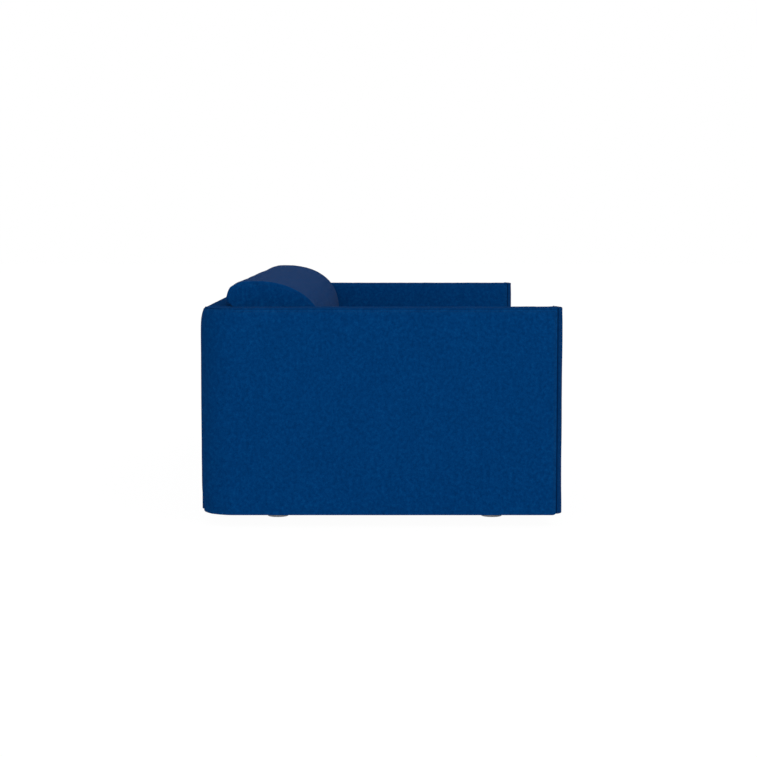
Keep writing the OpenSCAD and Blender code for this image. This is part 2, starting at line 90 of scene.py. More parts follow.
class Nodes:
    """A short way to write a node tree."""

    def __init__(self, owner, output="ShaderNodeOutputMaterial"):
        owner.use_nodes = True
        self.tree = owner.node_tree
        self.tree.nodes.clear()
        self.out = self.add(output)
        self.coords = None

    def add(self, kind, **settings):
        node = self.tree.nodes.new(kind)
        for key, value in settings.items():
            setattr(node, key, value)
        return node

    def link(self, a, b):
        self.tree.links.new(a, b)

    def feed(self, socket, value):
        if isinstance(value, bpy.types.NodeSocket):
            self.link(value, socket)
        else:
            socket.default_value = value

    def math(self, op, a, b=0.0):
        n = self.add("ShaderNodeMath", operation=op)
        self.feed(n.inputs[0], a)
        self.feed(n.inputs[1], b)
        return n.outputs[0]

    def plus(self, a, b, factor):
        """a plus b times factor."""
        return self.math("ADD", a, self.math("MULTIPLY", b, factor))

    def either(self, yes, a, b):
        """a where yes is 1, b where it is 0."""
        rest = self.math("MULTIPLY", b, self.math("SUBTRACT", 1.0, yes))
        return self.math("ADD", self.math("MULTIPLY", a, yes), rest)

    def vmath(self, op, a, b=(0, 0, 0)):
        n = self.add("ShaderNodeVectorMath", operation=op)
        self.feed(n.inputs[0], a)
        self.feed(n.inputs[1], b)
        return n.outputs[0]

    def split(self, vector):
        n = self.add("ShaderNodeSeparateXYZ")
        self.link(vector, n.inputs[0])
        return n.outputs

    def texture_coords(self, output):
        if self.coords is None:
            self.coords = self.add("ShaderNodeTexCoord")
        return self.coords.outputs[output]

    def object_coords(self):
        return self.texture_coords("Object")

    def noise(self, vector, scale, detail=3.0, rough=0.55):
        n = self.add("ShaderNodeTexNoise")
        for name, value in (("Vector", vector), ("Scale", scale), ("Detail", detail), ("Roughness", rough)):
            self.feed(n.inputs[name], value)
        return n.outputs["Fac"]

    def ramp(self, value, low, high, to_low=0.0, to_high=1.0):
        n = self.add("ShaderNodeMapRange", clamp=True)
        for socket, v in zip(n.inputs, (value, low, high, to_low, to_high)):
            self.feed(socket, v)
        return n.outputs["Result"]

    def mix(self, factor, a, b):
        n = self.add("ShaderNodeMix", data_type="RGBA", blend_type="MIX")
        self.feed(n.inputs["Factor"], factor)
        for socket, value in zip([s for s in n.inputs if s.type == "RGBA"], (a, b)):
            self.feed(socket, (*value[:3], 1.0) if isinstance(value, tuple) else value)
        return [s for s in n.outputs if s.type == "RGBA"][0]

    def mix_shader(self, factor, a, b):
        n = self.add("ShaderNodeMixShader")
        for socket, value in zip(n.inputs, (factor, a, b)):
            self.link(value, socket)
        return n.outputs[0]

    def emission(self, strength):
        n = self.add("ShaderNodeEmission")
        n.inputs["Strength"].default_value = strength
        return n.outputs[0]

    def attribute(self, name):
        return self.add("ShaderNodeAttribute", attribute_name=name).outputs["Fac"]

    def bump(self, height, distance, strength=1.0, normal=None):
        n = self.add("ShaderNodeBump")
        n.inputs["Strength"].default_value = strength
        n.inputs["Distance"].default_value = distance
        self.feed(n.inputs["Height"], height)
        if normal is not None:
            self.link(normal, n.inputs["Normal"])
        return n.outputs["Normal"]

    def shader(self, color, rough, normal, **constants):
        n = self.add("ShaderNodeBsdfPrincipled")
        self.feed(n.inputs["Base Color"], color)
        self.feed(n.inputs["Roughness"], rough)
        self.link(normal, n.inputs["Normal"])
        for key, value in constants.items():
            n.inputs[key.replace("_", " ")].default_value = value
        self.link(n.outputs[0], self.out.inputs["Surface"])
        return n.outputs[0]


def start(name):
    """A new material, its node tree and its object coordinates."""
    m = bpy.data.materials.new(name)
    k = Nodes(m)
    return m, k, k.object_coords()


def tint(color, factor):
    return tuple(factor * v for v in color)


def plane_coords(k):
    """Two coordinates that run over the surface, picked by which way the surface faces."""
    p = k.split(k.object_coords())
    n = k.split(k.vmath("ABSOLUTE", k.texture_coords("Normal")))
    x_side = k.math("GREATER_THAN", n[0], k.math("MAXIMUM", n[1], n[2]))
    z_side = k.math("GREATER_THAN", n[2], k.math("MAXIMUM", n[0], n[1]))
    return k.either(x_side, p[1], p[0]), k.either(z_side, p[1], p[2])


def weave_height(k, pitch):
    """A plain weave: over and under yarns, 0 to 1, with the yarn's own twist."""
    a, b = plane_coords(k)
    w = math.pi / pitch
    wobble = k.noise(k.object_coords(), 1.2 / pitch / 6, 2.0)
    sa = k.math("SINE", k.math("MULTIPLY", k.plus(a, wobble, pitch * 0.9), w))
    sb = k.math("SINE", k.math("MULTIPLY", k.plus(b, wobble, -pitch * 0.7), w))
    over = k.math("MULTIPLY", sa, sb)
    up = k.math("GREATER_THAN", over, 0.0)
    yarn = k.either(up, k.math("ABSOLUTE", sa), k.math("ABSOLUTE", sb))
    return k.math("MULTIPLY", yarn, k.plus(0.45, k.math("ABSOLUTE", over), 0.55))


BLUE = (0.0006, 0.0375, 0.150)
BLUE_LIGHT = (0.0020, 0.060, 0.215)
BLUE_DEEP = (0.0003, 0.0225, 0.098)
BLUE_RUBBED = (0.006, 0.060, 0.190)
# the colour of the painted shade in the seam creases
BLUE_SEAM_SHADE = (0.0004, 0.013, 0.055)


def upholstery(name, sheen, pitch=0.0016):
    """Woollen cloth: plain weave with painted shade between the yarns, mottled yarns, a short greyish nap,
    rubbed edges, and painted shade in the seam creases. Mesh attributes say where the wear and the painted seam
    shade go."""
    m, k, p = start(name)
    weave = weave_height(k, pitch)
    fleck = k.noise(p, 260.0, 2.0, 0.7)
    mottle = k.noise(p, 95.0, 3.0, 0.65)
    cloud = k.noise(p, 9.0, 2.0, 0.5)
    fibre = k.noise(p, 1900.0, 2.0, 0.6)
    tone = k.plus(k.math("MULTIPLY", fleck, 0.38), mottle, 0.62)
    c = k.mix(k.math("MULTIPLY", k.ramp(tone, 0.50, 0.68), 0.72), BLUE, BLUE_LIGHT)
    c = k.mix(k.math("MULTIPLY", k.ramp(tone, 0.50, 0.32), 0.72), c, BLUE_DEEP)
    c = k.mix(k.ramp(cloud, 0.35, 0.65, 0.0, 0.12), c, BLUE_DEEP)
    # painted shade between the yarns and a little painted light on their crowns: the colour is scaled by the
    # weave's height
    shaded = k.add("ShaderNodeVectorMath", operation="SCALE")
    k.link(c, shaded.inputs[0])
    k.link(k.ramp(weave, 0.0, 0.8, 0.70, 1.08), shaded.inputs["Scale"])
    rub = k.math("MULTIPLY", k.attribute("rub"), k.ramp(mottle, 0.35, 0.7, 0.2, 1.0))
    c = k.mix(k.math("MULTIPLY", rub, 0.30), shaded.outputs[0], BLUE_RUBBED)
    # painted shade: the cloth is darkened in the seam creases, where shade falls
    c = k.mix(k.math("MULTIPLY", k.attribute("seam_shade"), 0.55), c, BLUE_SEAM_SHADE)
    height = k.plus(k.math("MULTIPLY", weave, 0.8), fibre, 0.35)
    normal = k.bump(mottle, 0.0012, 0.25, k.bump(height, 0.0005, 0.75))
    rough = k.ramp(fleck, 0.3, 0.7, 0.86, 0.97)
    k.shader(c, rough, normal, Specular_IOR_Level=0.0, Sheen_Weight=sheen, Sheen_Roughness=0.35)
    return m


def plain_cloth(name, color, pitch, sheen=0.05, bump=0.0003):
    m, k, p = start(name)
    weave = weave_height(k, pitch)
    cloud = k.noise(p, 30.0, 3.0, 0.6)
    dark = tint(color, 0.6)
    # painted shade between the yarns; below, a darker tone at random in clouds
    c = k.mix(k.ramp(weave, 0.1, 0.7, 0.55, 0.0), color, dark)
    c = k.mix(k.ramp(cloud, 0.3, 0.7, 0.0, 0.35), c, dark)
    k.shader(c, k.ramp(cloud, 0.3, 0.7, 0.8, 0.95), k.bump(weave, bump, 0.8), Specular_IOR_Level=0.15,
             Sheen_Weight=sheen, Sheen_Roughness=0.4)
    return m


def fleece(name, color, scale):
    """Foam and felt: cells or fibres with soft shadows between them."""
    m, k, p = start(name)
    voronoi = k.add("ShaderNodeTexVoronoi", feature="F1")
    k.link(p, voronoi.inputs["Vector"])
    voronoi.inputs["Scale"].default_value = scale
    cells = voronoi.outputs["Distance"]
    cloud = k.noise(p, 14.0, 4.0, 0.6)
    c = k.mix(k.ramp(cells, 0.15, 0.6, 0.5, 0.0), color, tint(color, 0.72))
    c = k.mix(k.ramp(cloud, 0.4, 0.75, 0.0, 0.3), c, tint(color, 0.85))
    k.shader(c, k.ramp(cloud, 0.3, 0.7, 0.88, 0.98), k.bump(cells, 0.0006, 0.7), Specular_IOR_Level=0.2)
    return m


def timber(name, light, dark, ring=26.0, varnish=0.0):
    """Sawn wood with its grain along the axis that ends its name: rings, pores, knots and rubbed patches."""
    m, k, place = start(name)
    axis = name[-1]
    stretch = [1.0, 1.0, 1.0]
    stretch["xyz".index(axis)] = 0.06
    p = k.vmath("MULTIPLY", place, tuple(stretch))
    warp = k.noise(p, 7.0, 3.0, 0.5)
    wave = k.add("ShaderNodeTexWave", wave_type="RINGS", rings_direction=axis.upper(), wave_profile="SAW")
    k.link(p, wave.inputs["Vector"])
    for key, value in (("Scale", ring), ("Distortion", 5.0), ("Detail", 2.5), ("Detail Scale", 1.4)):
        wave.inputs[key].default_value = value
    rings = wave.outputs["Fac"]
    pores = k.noise(p, 900.0, 2.0, 0.7)
    patch = k.noise(place, 3.5, 3.0, 0.6)
    c = k.mix(k.ramp(rings, 0.1, 0.95, 0.0, 0.75), light, dark)
    c = k.mix(k.ramp(pores, 0.55, 0.75, 0.0, 0.35), c, tint(dark, 0.55))
    c = k.mix(k.ramp(patch, 0.35, 0.7, 0.0, 0.3), c, tint(light, 0.8))
    c = k.mix(k.ramp(warp, 0.62, 0.78, 0.0, 0.35), c, dark)
    height = k.math("ADD", k.math("MULTIPLY", rings, 0.5), pores)
    k.shader(c, k.ramp(pores, 0.3, 0.7, 0.42 - 0.1 * varnish, 0.62 - 0.2 * varnish),
             k.bump(height, 0.0003, 0.5), Coat_Weight=0.35 * varnish, Coat_Roughness=0.25)
    return m


def metal(name, color, rough, spots, bump, streak=(1.0, 1.0, 1.0)):
    """Plated steel or chrome: fine scratches, smudges and dulled patches."""
    m, k, p = start(name)
    smudge = k.noise(p, spots, 4.0, 0.65)
    fine = k.noise(k.vmath("MULTIPLY", p, streak), 700.0, 2.0, 0.6)
    c = k.mix(k.ramp(smudge, 0.4, 0.75, 0.0, 0.35), color, tint(color, 0.75))
    r = k.plus(k.ramp(smudge, 0.35, 0.75, rough, rough * 2.2 + 0.02), k.ramp(fine, 0.4, 0.7), 0.05)
    k.shader(c, r, k.bump(fine, bump, 0.6), Metallic=1.0)
    return m


def moulded(name, color, rough, grain=900.0, bump=0.0001):
    """Moulded plastic or rubber with a fine grain and a little dust."""
    m, k, p = start(name)
    pits = k.noise(p, grain, 2.0, 0.5)
    dust = k.noise(p, 45.0, 4.0, 0.65)
    c = k.mix(k.ramp(dust, 0.5, 0.8, 0.0, 0.3), color, tuple(v + 0.06 for v in color))
    k.shader(c, k.ramp(dust, 0.3, 0.75, rough, min(rough + 0.25, 1.0)), k.bump(pits, bump, 0.6),
             Specular_IOR_Level=0.4)
    return m


PINE = (0.62, 0.42, 0.20), (0.40, 0.21, 0.075)
BIRCH = (0.70, 0.53, 0.31), (0.52, 0.35, 0.17), 34.0, 1.0

CLOTH = upholstery("upholstery", 0.010)
CLOTH_BRUSHED = upholstery("upholstery_brushed", 0.045)
THREAD = plain_cloth("sewing_thread", (0.0015, 0.030, 0.105), 0.0004, 0.0, 0.0001)
WEBBING = plain_cloth("webbing", (0.0012, 0.034, 0.125), 0.0024, 0.04, 0.0007)
LINING = plain_cloth("dust_cloth", (0.016, 0.016, 0.018), 0.0011, 0.1, 0.0002)
TAPE = plain_cloth("zip_tape", (0.001, 0.012, 0.05), 0.0008, 0.03, 0.0002)
FOAM = fleece("foam", (0.80, 0.70, 0.42), 420.0)
PINE_X, PINE_Y, PINE_Z = (timber("pine_along_" + axis, *PINE) for axis in "xyz")
BIRCH_X, BIRCH_Y = (timber("birch_along_" + axis, *BIRCH) for axis in "xy")
CHROME = metal("polished_chrome", (0.80, 0.81, 0.83), 0.05, 60.0, 0.00001)
ZINC = metal("zinc_plate", (0.60, 0.61, 0.62), 0.28, 120.0, 0.00005, (1.0, 1.0, 0.1))
RUBBER = moulded("tyre_rubber", (0.022, 0.022, 0.024), 0.62, 700.0, 0.0002)
HUB = moulded("hub_plastic", (0.30, 0.30, 0.31), 0.38)
PLASTIC = moulded("black_plastic", (0.010, 0.010, 0.011), 0.42)
FELT = fleece("felt_glide", (0.055, 0.055, 0.06), 900.0)
ZIP_TEETH = moulded("zip_teeth", (0.004, 0.016, 0.055), 0.3)

# ---------------------------------------------------------------- mesh helpers


def new_object(name, verts, faces, material, smooth=True):
    mesh = bpy.data.meshes.new(name)
    mesh.from_pydata([tuple(map(float, v)) for v in verts], [], [tuple(map(int, f)) for f in faces])
    mesh.validate()
    if smooth:
        mesh.polygons.foreach_set("use_smooth", [True] * len(mesh.polygons))
    mesh.materials.append(material)
    obj = bpy.data.objects.new(name, mesh)
    SCENE.collection.objects.link(obj)
    return obj


def read(items, key, width=3):
    values = np.empty(len(items) * width)
    items.foreach_get(key, values)
    return values.reshape(-1, width)


def coords(obj):
    return read(obj.data.vertices, "co")


def normals(obj):
    return read(obj.data.vertex_normals, "vector")


def set_coords(obj, co):
    obj.data.vertices.foreach_set("co", np.asarray(co, float).ravel())
    obj.data.update()


def store(obj, name, values):
    """Keeps one number for each vertex in the mesh, through a subdivision too."""
    at = obj.data.attributes.get(name) or obj.data.attributes.new(name, "FLOAT", "POINT")
    at.data.foreach_set("value", np.asarray(values, np.float32))


def stored(obj, name="seam"):
    values = np.empty(len(obj.data.vertices), np.float32)
    obj.data.attributes[name].data.foreach_get("value", values)
    return values.astype(float)


@contextmanager
def editing(mesh):
    """The mesh as a bmesh, written back at the end."""
    bm = bmesh.new()
    bm.from_mesh(mesh)
    yield bm
    bm.to_mesh(mesh)
    bm.free()


def smooth(t):
    t = np.clip(t, 0, 1)
    return t * t * (3 - 2 * t)


def fractal(points, scale, octaves=3, seed=0.0):
    shift = Vector((seed, seed * 1.7, -seed))
    return np.array([noise.fractal(Vector(p) * scale + shift, 1.0, 2.0, octaves) for p in points])


def bake_modifiers(obj):
    dg = bpy.context.evaluated_depsgraph_get()
    dg.update()
    mesh = bpy.data.meshes.new_from_object(obj.evaluated_get(dg), preserve_all_data_layers=True, depsgraph=dg)
    old = obj.data
    obj.modifiers.clear()
    obj.data = mesh
    mesh.name = obj.name
    bpy.data.meshes.remove(old)


def subdivide(obj):
    """One level of Catmull-Clark subdivision, in the mesh itself."""
    m = obj.modifiers.new("smooth", "SUBSURF")
    m.levels = m.render_levels = 1
    bake_modifiers(obj)


def solid(obj, thickness):
    m = obj.modifiers.new("thickness", "SOLIDIFY")
    m.thickness = thickness
    m.offset = -1.0
    bake_modifiers(obj)


def fix_normals(obj):
    with editing(obj.data) as bm:
        bmesh.ops.recalc_face_normals(bm, faces=bm.faces)
    obj.data.update()


def strip_loose(obj):
    """Drops the vertices that no face uses."""
    with editing(obj.data) as bm:
        bmesh.ops.delete(bm, geom=[v for v in bm.verts if not v.link_faces], context="VERTS")


def ease(obj, width):
    """Rounds every edge of a small hard piece."""
    with editing(obj.data) as bm:
        bmesh.ops.bevel(bm, geom=bm.edges[:], offset=width, segments=2, profile=0.6, affect="EDGES",
                        clamp_overlap=True)
    obj.data.polygons.foreach_set("use_smooth", [True] * len(obj.data.polygons))
    obj.data.set_sharp_from_angle(angle=math.radians(40))


def surface_of(obj):
    dg = bpy.context.evaluated_depsgraph_get()
    dg.update()
    return BVHTree.FromObject(obj, dg)


def stops(lo, hi, step, edge, extra=()):
    """Places of grid lines from lo to hi, about step apart. They are close together within edge of each end and
    near each extra place."""
    fine = [0.0, 0.22, 0.5, 0.78, 1.0]
    ends = [lo + edge * f for f in fine] + [hi - edge * f for f in fine]
    n = max(2, round((hi - lo - 2 * edge) / step))
    middle = list(np.linspace(lo + edge, hi - edge, n + 1))
    near = []
    for e in extra:
        near += [e - 0.006, e - 0.0025, e, e + 0.0025, e + 0.006]
        middle = [m for m in middle if abs(m - e) > 0.010]
    return np.array(sorted(set(round(v, 7) for v in ends + middle + near)))


class Box:
    """The surface of a box as a grid. P keeps each vertex's place on the plain box, and on[] which faces it is
    on."""

    def __init__(self, xs, ys, zs):
        axes = (np.asarray(xs), np.asarray(ys), np.asarray(zs))
        n = [len(a) for a in axes]
        index, points, faces = {}, [], []

        def vertex(key):
            if key not in index:
                index[key] = len(points)
                points.append(key)
            return index[key]

        for axis in range(3):
            u, v = (axis + 1) % 3, (axis + 2) % 3
            for end in (0, n[axis] - 1):
                for i in range(n[u] - 1):
                    for j in range(n[v] - 1):
                        ring = []
                        for a, b in ((i, j), (i + 1, j), (i + 1, j + 1), (i, j + 1)):
                            key = [0, 0, 0]
                            key[axis], key[u], key[v] = end, a, b
                            ring.append(vertex(tuple(key)))
                        faces.append(ring if end else ring[::-1])
        grid = np.array(points)
        self.faces = faces
        self.P = np.stack([axes[i][grid[:, i]] for i in range(3)], 1)
        self.lo = np.array([a[0] for a in axes])
        self.hi = np.array([a[-1] for a in axes])
        self.on = {}
        for i, name in enumerate("xyz"):
            self.on[name + "0"] = grid[:, i] == 0
            self.on[name + "1"] = grid[:, i] == n[i] - 1

    def to_plane(self, face):
        i = "xyz".index(face[0])
        return np.abs(self.P[:, i] - (self.lo if face[1] == "0" else self.hi)[i])

    def seam_distance(self, seams):
        """Distance over the surface to the nearest seam. A seam is a box edge, such as ("x1", "y0"), or a line
        on a face, such as ("y1", "x", 0.84)."""
        far = np.full(len(self.P), 1.0)
        for seam in seams:
            if len(seam) == 2:
                a, b = seam
                sides = ((a, self.to_plane(b)), (b, self.to_plane(a)))
            else:
                face, axis, at = seam
                sides = ((face, np.abs(self.P[:, "xyz".index(axis)] - at)),)
            for face, d in sides:
                far = np.minimum(far, np.where(self.on[face], d, 1.0))
        return far

    def rounded(self, r):
        """The box's points with its edges rounded to radius r."""
        inner = np.clip(self.P, self.lo + r, self.hi - r)
        d = (self.P - inner) / r
        length = np.linalg.norm(d, axis=1, keepdims=True)
        return inner + d / np.maximum(length, 1e-9) * r * (length > 0)


def sew(obj, depth=0.0022, width=0.0028, puff=0.002, reach=0.045, pucker=0.0006, seed=0.0,
        noise_amp=0.0011, hold=None, shade=1.0, level=None):
    """Draws the cloth in along its seams, lets it stand proud between them, and adds puckers and uneven filling.
    Below level, cloth only moves sideways, so that a hem stays straight. Held cloth never moves outward."""
    co, n, distance = coords(obj), normals(obj), stored(obj)
    if level is not None:
        n[co[:, 2] < level, 2] = 0.0
    valley = np.exp(-((distance / width) ** 2))
    lift = puff * (1 - np.exp(-((distance / reach) ** 1.3)))
    lip = 0.0007 * np.exp(-(((distance - 0.0065) / 0.003) ** 2))
    ripple = fractal(co, 55.0, 2, seed + 3) * pucker * np.exp(-((distance / 0.022) ** 1.2))
    uneven = fractal(co, 5.5, 3, seed) * noise_amp * np.clip(distance / 0.06, 0, 1)
    move = -depth * valley + lift + lip + ripple + uneven
    if hold is not None:
        move = np.where(hold, np.minimum(move, 0.0), move)
    set_coords(obj, co + n * move[:, None])
    # painted shade in the seam crease, as deep as its valley, scaled by shade
    store(obj, "seam_shade", shade * np.clip(valley, 0, 1))
    store(obj, "rub", shade * np.exp(-(((distance - 0.007) / 0.006) ** 2)))


SIM_FRAMES = 20
SIM_STIFFNESS = 12.0


def inflate(obj, pinned, pressure, cap):
    """Cloth simulation: the case swells while its seams are held. No point moves further than cap."""
    before = coords(obj)
    group = obj.vertex_groups.new(name="seams")
    group.add([int(i) for i in np.nonzero(pinned)[0]], 1.0, "REPLACE")
    m = obj.modifiers.new("cloth", "CLOTH")
    s = m.settings
    s.quality = 5
    s.mass = 0.25
    s.tension_stiffness = s.compression_stiffness = SIM_STIFFNESS
    s.shear_stiffness = SIM_STIFFNESS * 0.5
    s.bending_stiffness = 0.6
    s.use_pressure = True
    s.uniform_pressure_force = pressure
    s.vertex_group_mass = "seams"
    s.shrink_min = -0.015
    s.effector_weights.gravity = 0.0
    s.air_damping = 2.0
    m.collision_settings.use_collision = False
    m.point_cache.frame_start, m.point_cache.frame_end = 1, SIM_FRAMES
    for f in range(1, SIM_FRAMES + 1):
        SCENE.frame_set(f)
    bake_modifiers(obj)
    obj.vertex_groups.clear()
    SCENE.frame_set(1)
    step = coords(obj) - before
    length = np.linalg.norm(step, axis=1, keepdims=True)
    set_coords(obj, before + step * cap * np.tanh(length / cap) / np.maximum(length, 1e-9))


def tube(name, points, radius, material, sides):
    """A round cord along points."""
    pts = [Vector(p) for p in points]
    last = len(pts) - 1
    verts, faces = [], []
    for i, p in enumerate(pts):
        t = (pts[min(i + 1, last)] - pts[max(i - 1, 0)]).normalized()
        side = t.cross(Vector((0, 0, 1))).normalized()
        top = side.cross(t)
        for j in range(sides):
            w = 2 * math.pi * j / sides
            verts.append(p + side * (radius * math.cos(w)) + top * (radius * math.sin(w)))
    for i in range(last):
        for j in range(sides):
            l = (j + 1) % sides
            faces.append((i * sides + j, i * sides + l, (i + 1) * sides + l, (i + 1) * sides + j))
    faces.append(tuple(range(sides)))
    faces.append(tuple(reversed(range(last * sides, (last + 1) * sides))))
    obj = new_object(name, verts, faces, material)
    fix_normals(obj)
    return obj


def stitches(name, body, lines, surface, pitch=0.0062, length=0.0042, radius=0.00045):
    """Rows of thread stitches lying on a surface, along lines of points near it."""
    verts, faces = [], []
    for points in lines:
        pts = [Vector(p) for p in points]
        lengths = [0.0]
        for a, b in zip(pts, pts[1:]):
            lengths.append(lengths[-1] + (b - a).length)
        at, seg = pitch / 2, 0
        while at < lengths[-1]:
            while lengths[seg + 1] < at:
                seg += 1
            f = (at - lengths[seg]) / max(lengths[seg + 1] - lengths[seg], 1e-9)
            t = (pts[seg + 1] - pts[seg]).normalized()
            hit, n, _, gap = surface.find_nearest(pts[seg].lerp(pts[seg + 1], f))
            at += pitch
            if hit is None or gap > 0.02:
                continue
            t = (t - n * t.dot(n)).normalized()
            side = t.cross(n)
            centre = hit + n * (radius * 0.45)
            a0 = len(verts)
            r0, r1, a1 = a0 + 1, a0 + 5, a0 + 9
            for along, lift, whole in ((-0.5, -0.8, False), (-0.28, 0.0, True), (0.28, 0.0, True),
                                       (0.5, -0.8, False)):
                q = centre + t * (length * along) + n * (radius * lift)
                angles = [math.pi / 2 * j for j in range(4)]
                verts += [q + side * (radius * math.cos(w)) + n * (radius * math.sin(w))
                          for w in angles] if whole else [q]
            for j in range(4):
                l = (j + 1) % 4
                faces.append((a0, r0 + l, r0 + j))
                faces.append((r0 + j, r0 + l, r1 + l, r1 + j))
                faces.append((a1, r1 + j, r1 + l))
    obj = new_object(name, verts, faces, THREAD)
    fix_normals(obj)
    finish_piece(obj, body, [])


def line(a, b, step=0.01):
    a, b = np.array(a, float), np.array(b, float)
    n = max(2, int(np.linalg.norm(b - a) / step))
    return [tuple(a + (b - a) * i / n) for i in range(n + 1)]


def finish_piece(obj, body, nodes):
    """Says which body a piece moves with, and hides the CAD nodes it stands for."""
    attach(obj, body)
    if nodes:
        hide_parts(*nodes)


def paint(node, material):
    mesh = frame["nodes"][node].data
    mesh.materials.clear()
    mesh.materials.append(material)


SHARP = math.radians(35)


def bevelled(node, width, material, segments=2):
    """A copy of a CAD node with its edges eased, which stands for the node."""
    source = frame["nodes"][node]
    mesh = source.data.copy()
    with editing(mesh) as bm:
        bmesh.ops.remove_doubles(bm, verts=bm.verts, dist=1e-5)
        bmesh.ops.dissolve_limit(bm, angle_limit=math.radians(2), verts=bm.verts, edges=bm.edges)
        sharp = [e for e in bm.edges if len(e.link_faces) == 2 and e.calc_face_angle(0) > SHARP]
        bmesh.ops.bevel(bm, geom=sharp, offset=width, segments=segments, profile=0.6, affect="EDGES",
                        clamp_overlap=True, offset_type="OFFSET")
        bmesh.ops.triangulate(bm, faces=[f for f in bm.faces if len(f.verts) > 4])
    mesh.materials.clear()
    mesh.materials.append(material)
    mesh.polygons.foreach_set("use_smooth", [False] * len(mesh.polygons))
    obj = bpy.data.objects.new(node + "_made", mesh)
    SCENE.collection.objects.link(obj)
    mesh.set_sharp_from_angle(angle=math.radians(40))
    finish_piece(obj, source["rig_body"], [node])


def lathe(name, profile, centre, material, axis="z", segments=72):
    """Turns a profile of (radius, height) about an axis through centre."""
    n = len(profile)
    angles = [2 * math.pi * i / segments for i in range(segments)]
    turn = Matrix.Identity(4) if axis == "z" else Matrix.Rotation(math.pi / 2, 4, "Y")
    verts = [turn @ Vector((r * math.cos(w), r * math.sin(w), h)) + Vector(centre)
             for w in angles for r, h in profile]
    faces = []
    for i in range(segments):
        k = (i + 1) % segments
        faces += [(i * n + j, k * n + j, k * n + j + 1, i * n + j + 1) for j in range(n - 1)]
    obj = new_object(name, verts, faces, material)
    with editing(obj.data) as bm:
        bmesh.ops.remove_doubles(bm, verts=bm.verts, dist=1e-6)
        bmesh.ops.recalc_face_normals(bm, faces=bm.faces)
    obj.data.set_sharp_from_angle(angle=math.radians(32))
    return obj


def blocks(name, places, size, material):
    """Many small blocks of one size, in one mesh."""
    sx, sy, sz = (v / 2 for v in size)
    corners = [(x, y, z) for z in (-sz, sz) for x, y in ((-sx, -sy), (sx, -sy), (sx, sy), (-sx, sy))]
    quads = [(0, 3, 2, 1), (4, 5, 6, 7), (0, 1, 5, 4), (1, 2, 6, 5), (2, 3, 7, 6), (3, 0, 4, 7)]
    verts = [(c[0] + q[0], c[1] + q[1], c[2] + q[2]) for c in places for q in corners]
    faces = [tuple(8 * b + i for i in f) for b in range(len(places)) for f in quads]
    return new_object(name, verts, faces, material, False)


def strap(name, path, width, thickness, material, centre_x):
    """A flat strap, width along X, that follows a path of (depth, height) points."""
    pts = [np.array(q, float) for q in path]
    n = len(pts)
    across = np.array([-0.5, -0.46, -0.2, 0.0, 0.2, 0.46, 0.5]) * width
    m = len(across)
    verts, faces = [], []
    for layer in (1, -1):
        for i in range(n):
            t = pts[min(i + 1, n - 1)] - pts[max(i - 1, 0)]
            t = t / np.linalg.norm(t)
            normal = np.array([-t[1], t[0]])
            for x in across:
                edge = 0.55 if abs(x) > 0.49 * width else 1.0
                verts.append((centre_x + x, *(pts[i] + normal * layer * thickness / 2 * edge)))
    other = n * m
    for layer in (0, other):
        for i in range(n - 1):
            for j in range(m - 1):
                a = layer + i * m + j
                faces.append((a, a + 1, a + m + 1, a + m))
    for i in range(n - 1):
        for a in (i * m, i * m + m - 1):
            faces.append((a, a + m, a + m + other, a + other))
    for i in (0, n - 1):
        for j in range(m - 1):
            a = i * m + j
            faces.append((a, a + 1, a + 1 + other, a + other))
    obj = new_object(name, verts, faces, material)
    fix_normals(obj)
    return obj

# ---------------------------------------------------------------- arms

FRONT_STITCH = 0.009   # from the front seam to its row of stitches
TOP_STITCH = 0.009     # from the top seam down to its row of stitches


def crisp_hem(box, p):
    """Takes most of the rounding off the bottom edges."""
    low = box.P[:, 2] < box.lo[2] + ARM_EDGE
    return np.where(low[:, None], box.P + (p - box.P) * 0.35, p)


def top_draw(z, top):
    """How far the rear cloth leans in towards its top edge."""
    return 0.0115 * np.exp((z - top) / 0.015)


def in_disc(d):
    """Places in a unit square mapped onto a quarter disc."""
    return np.stack([d[:, 0] * np.sqrt(1 - d[:, 1] ** 2 / 2), d[:, 1] * np.sqrt(1 - d[:, 0] ** 2 / 2)], 1)


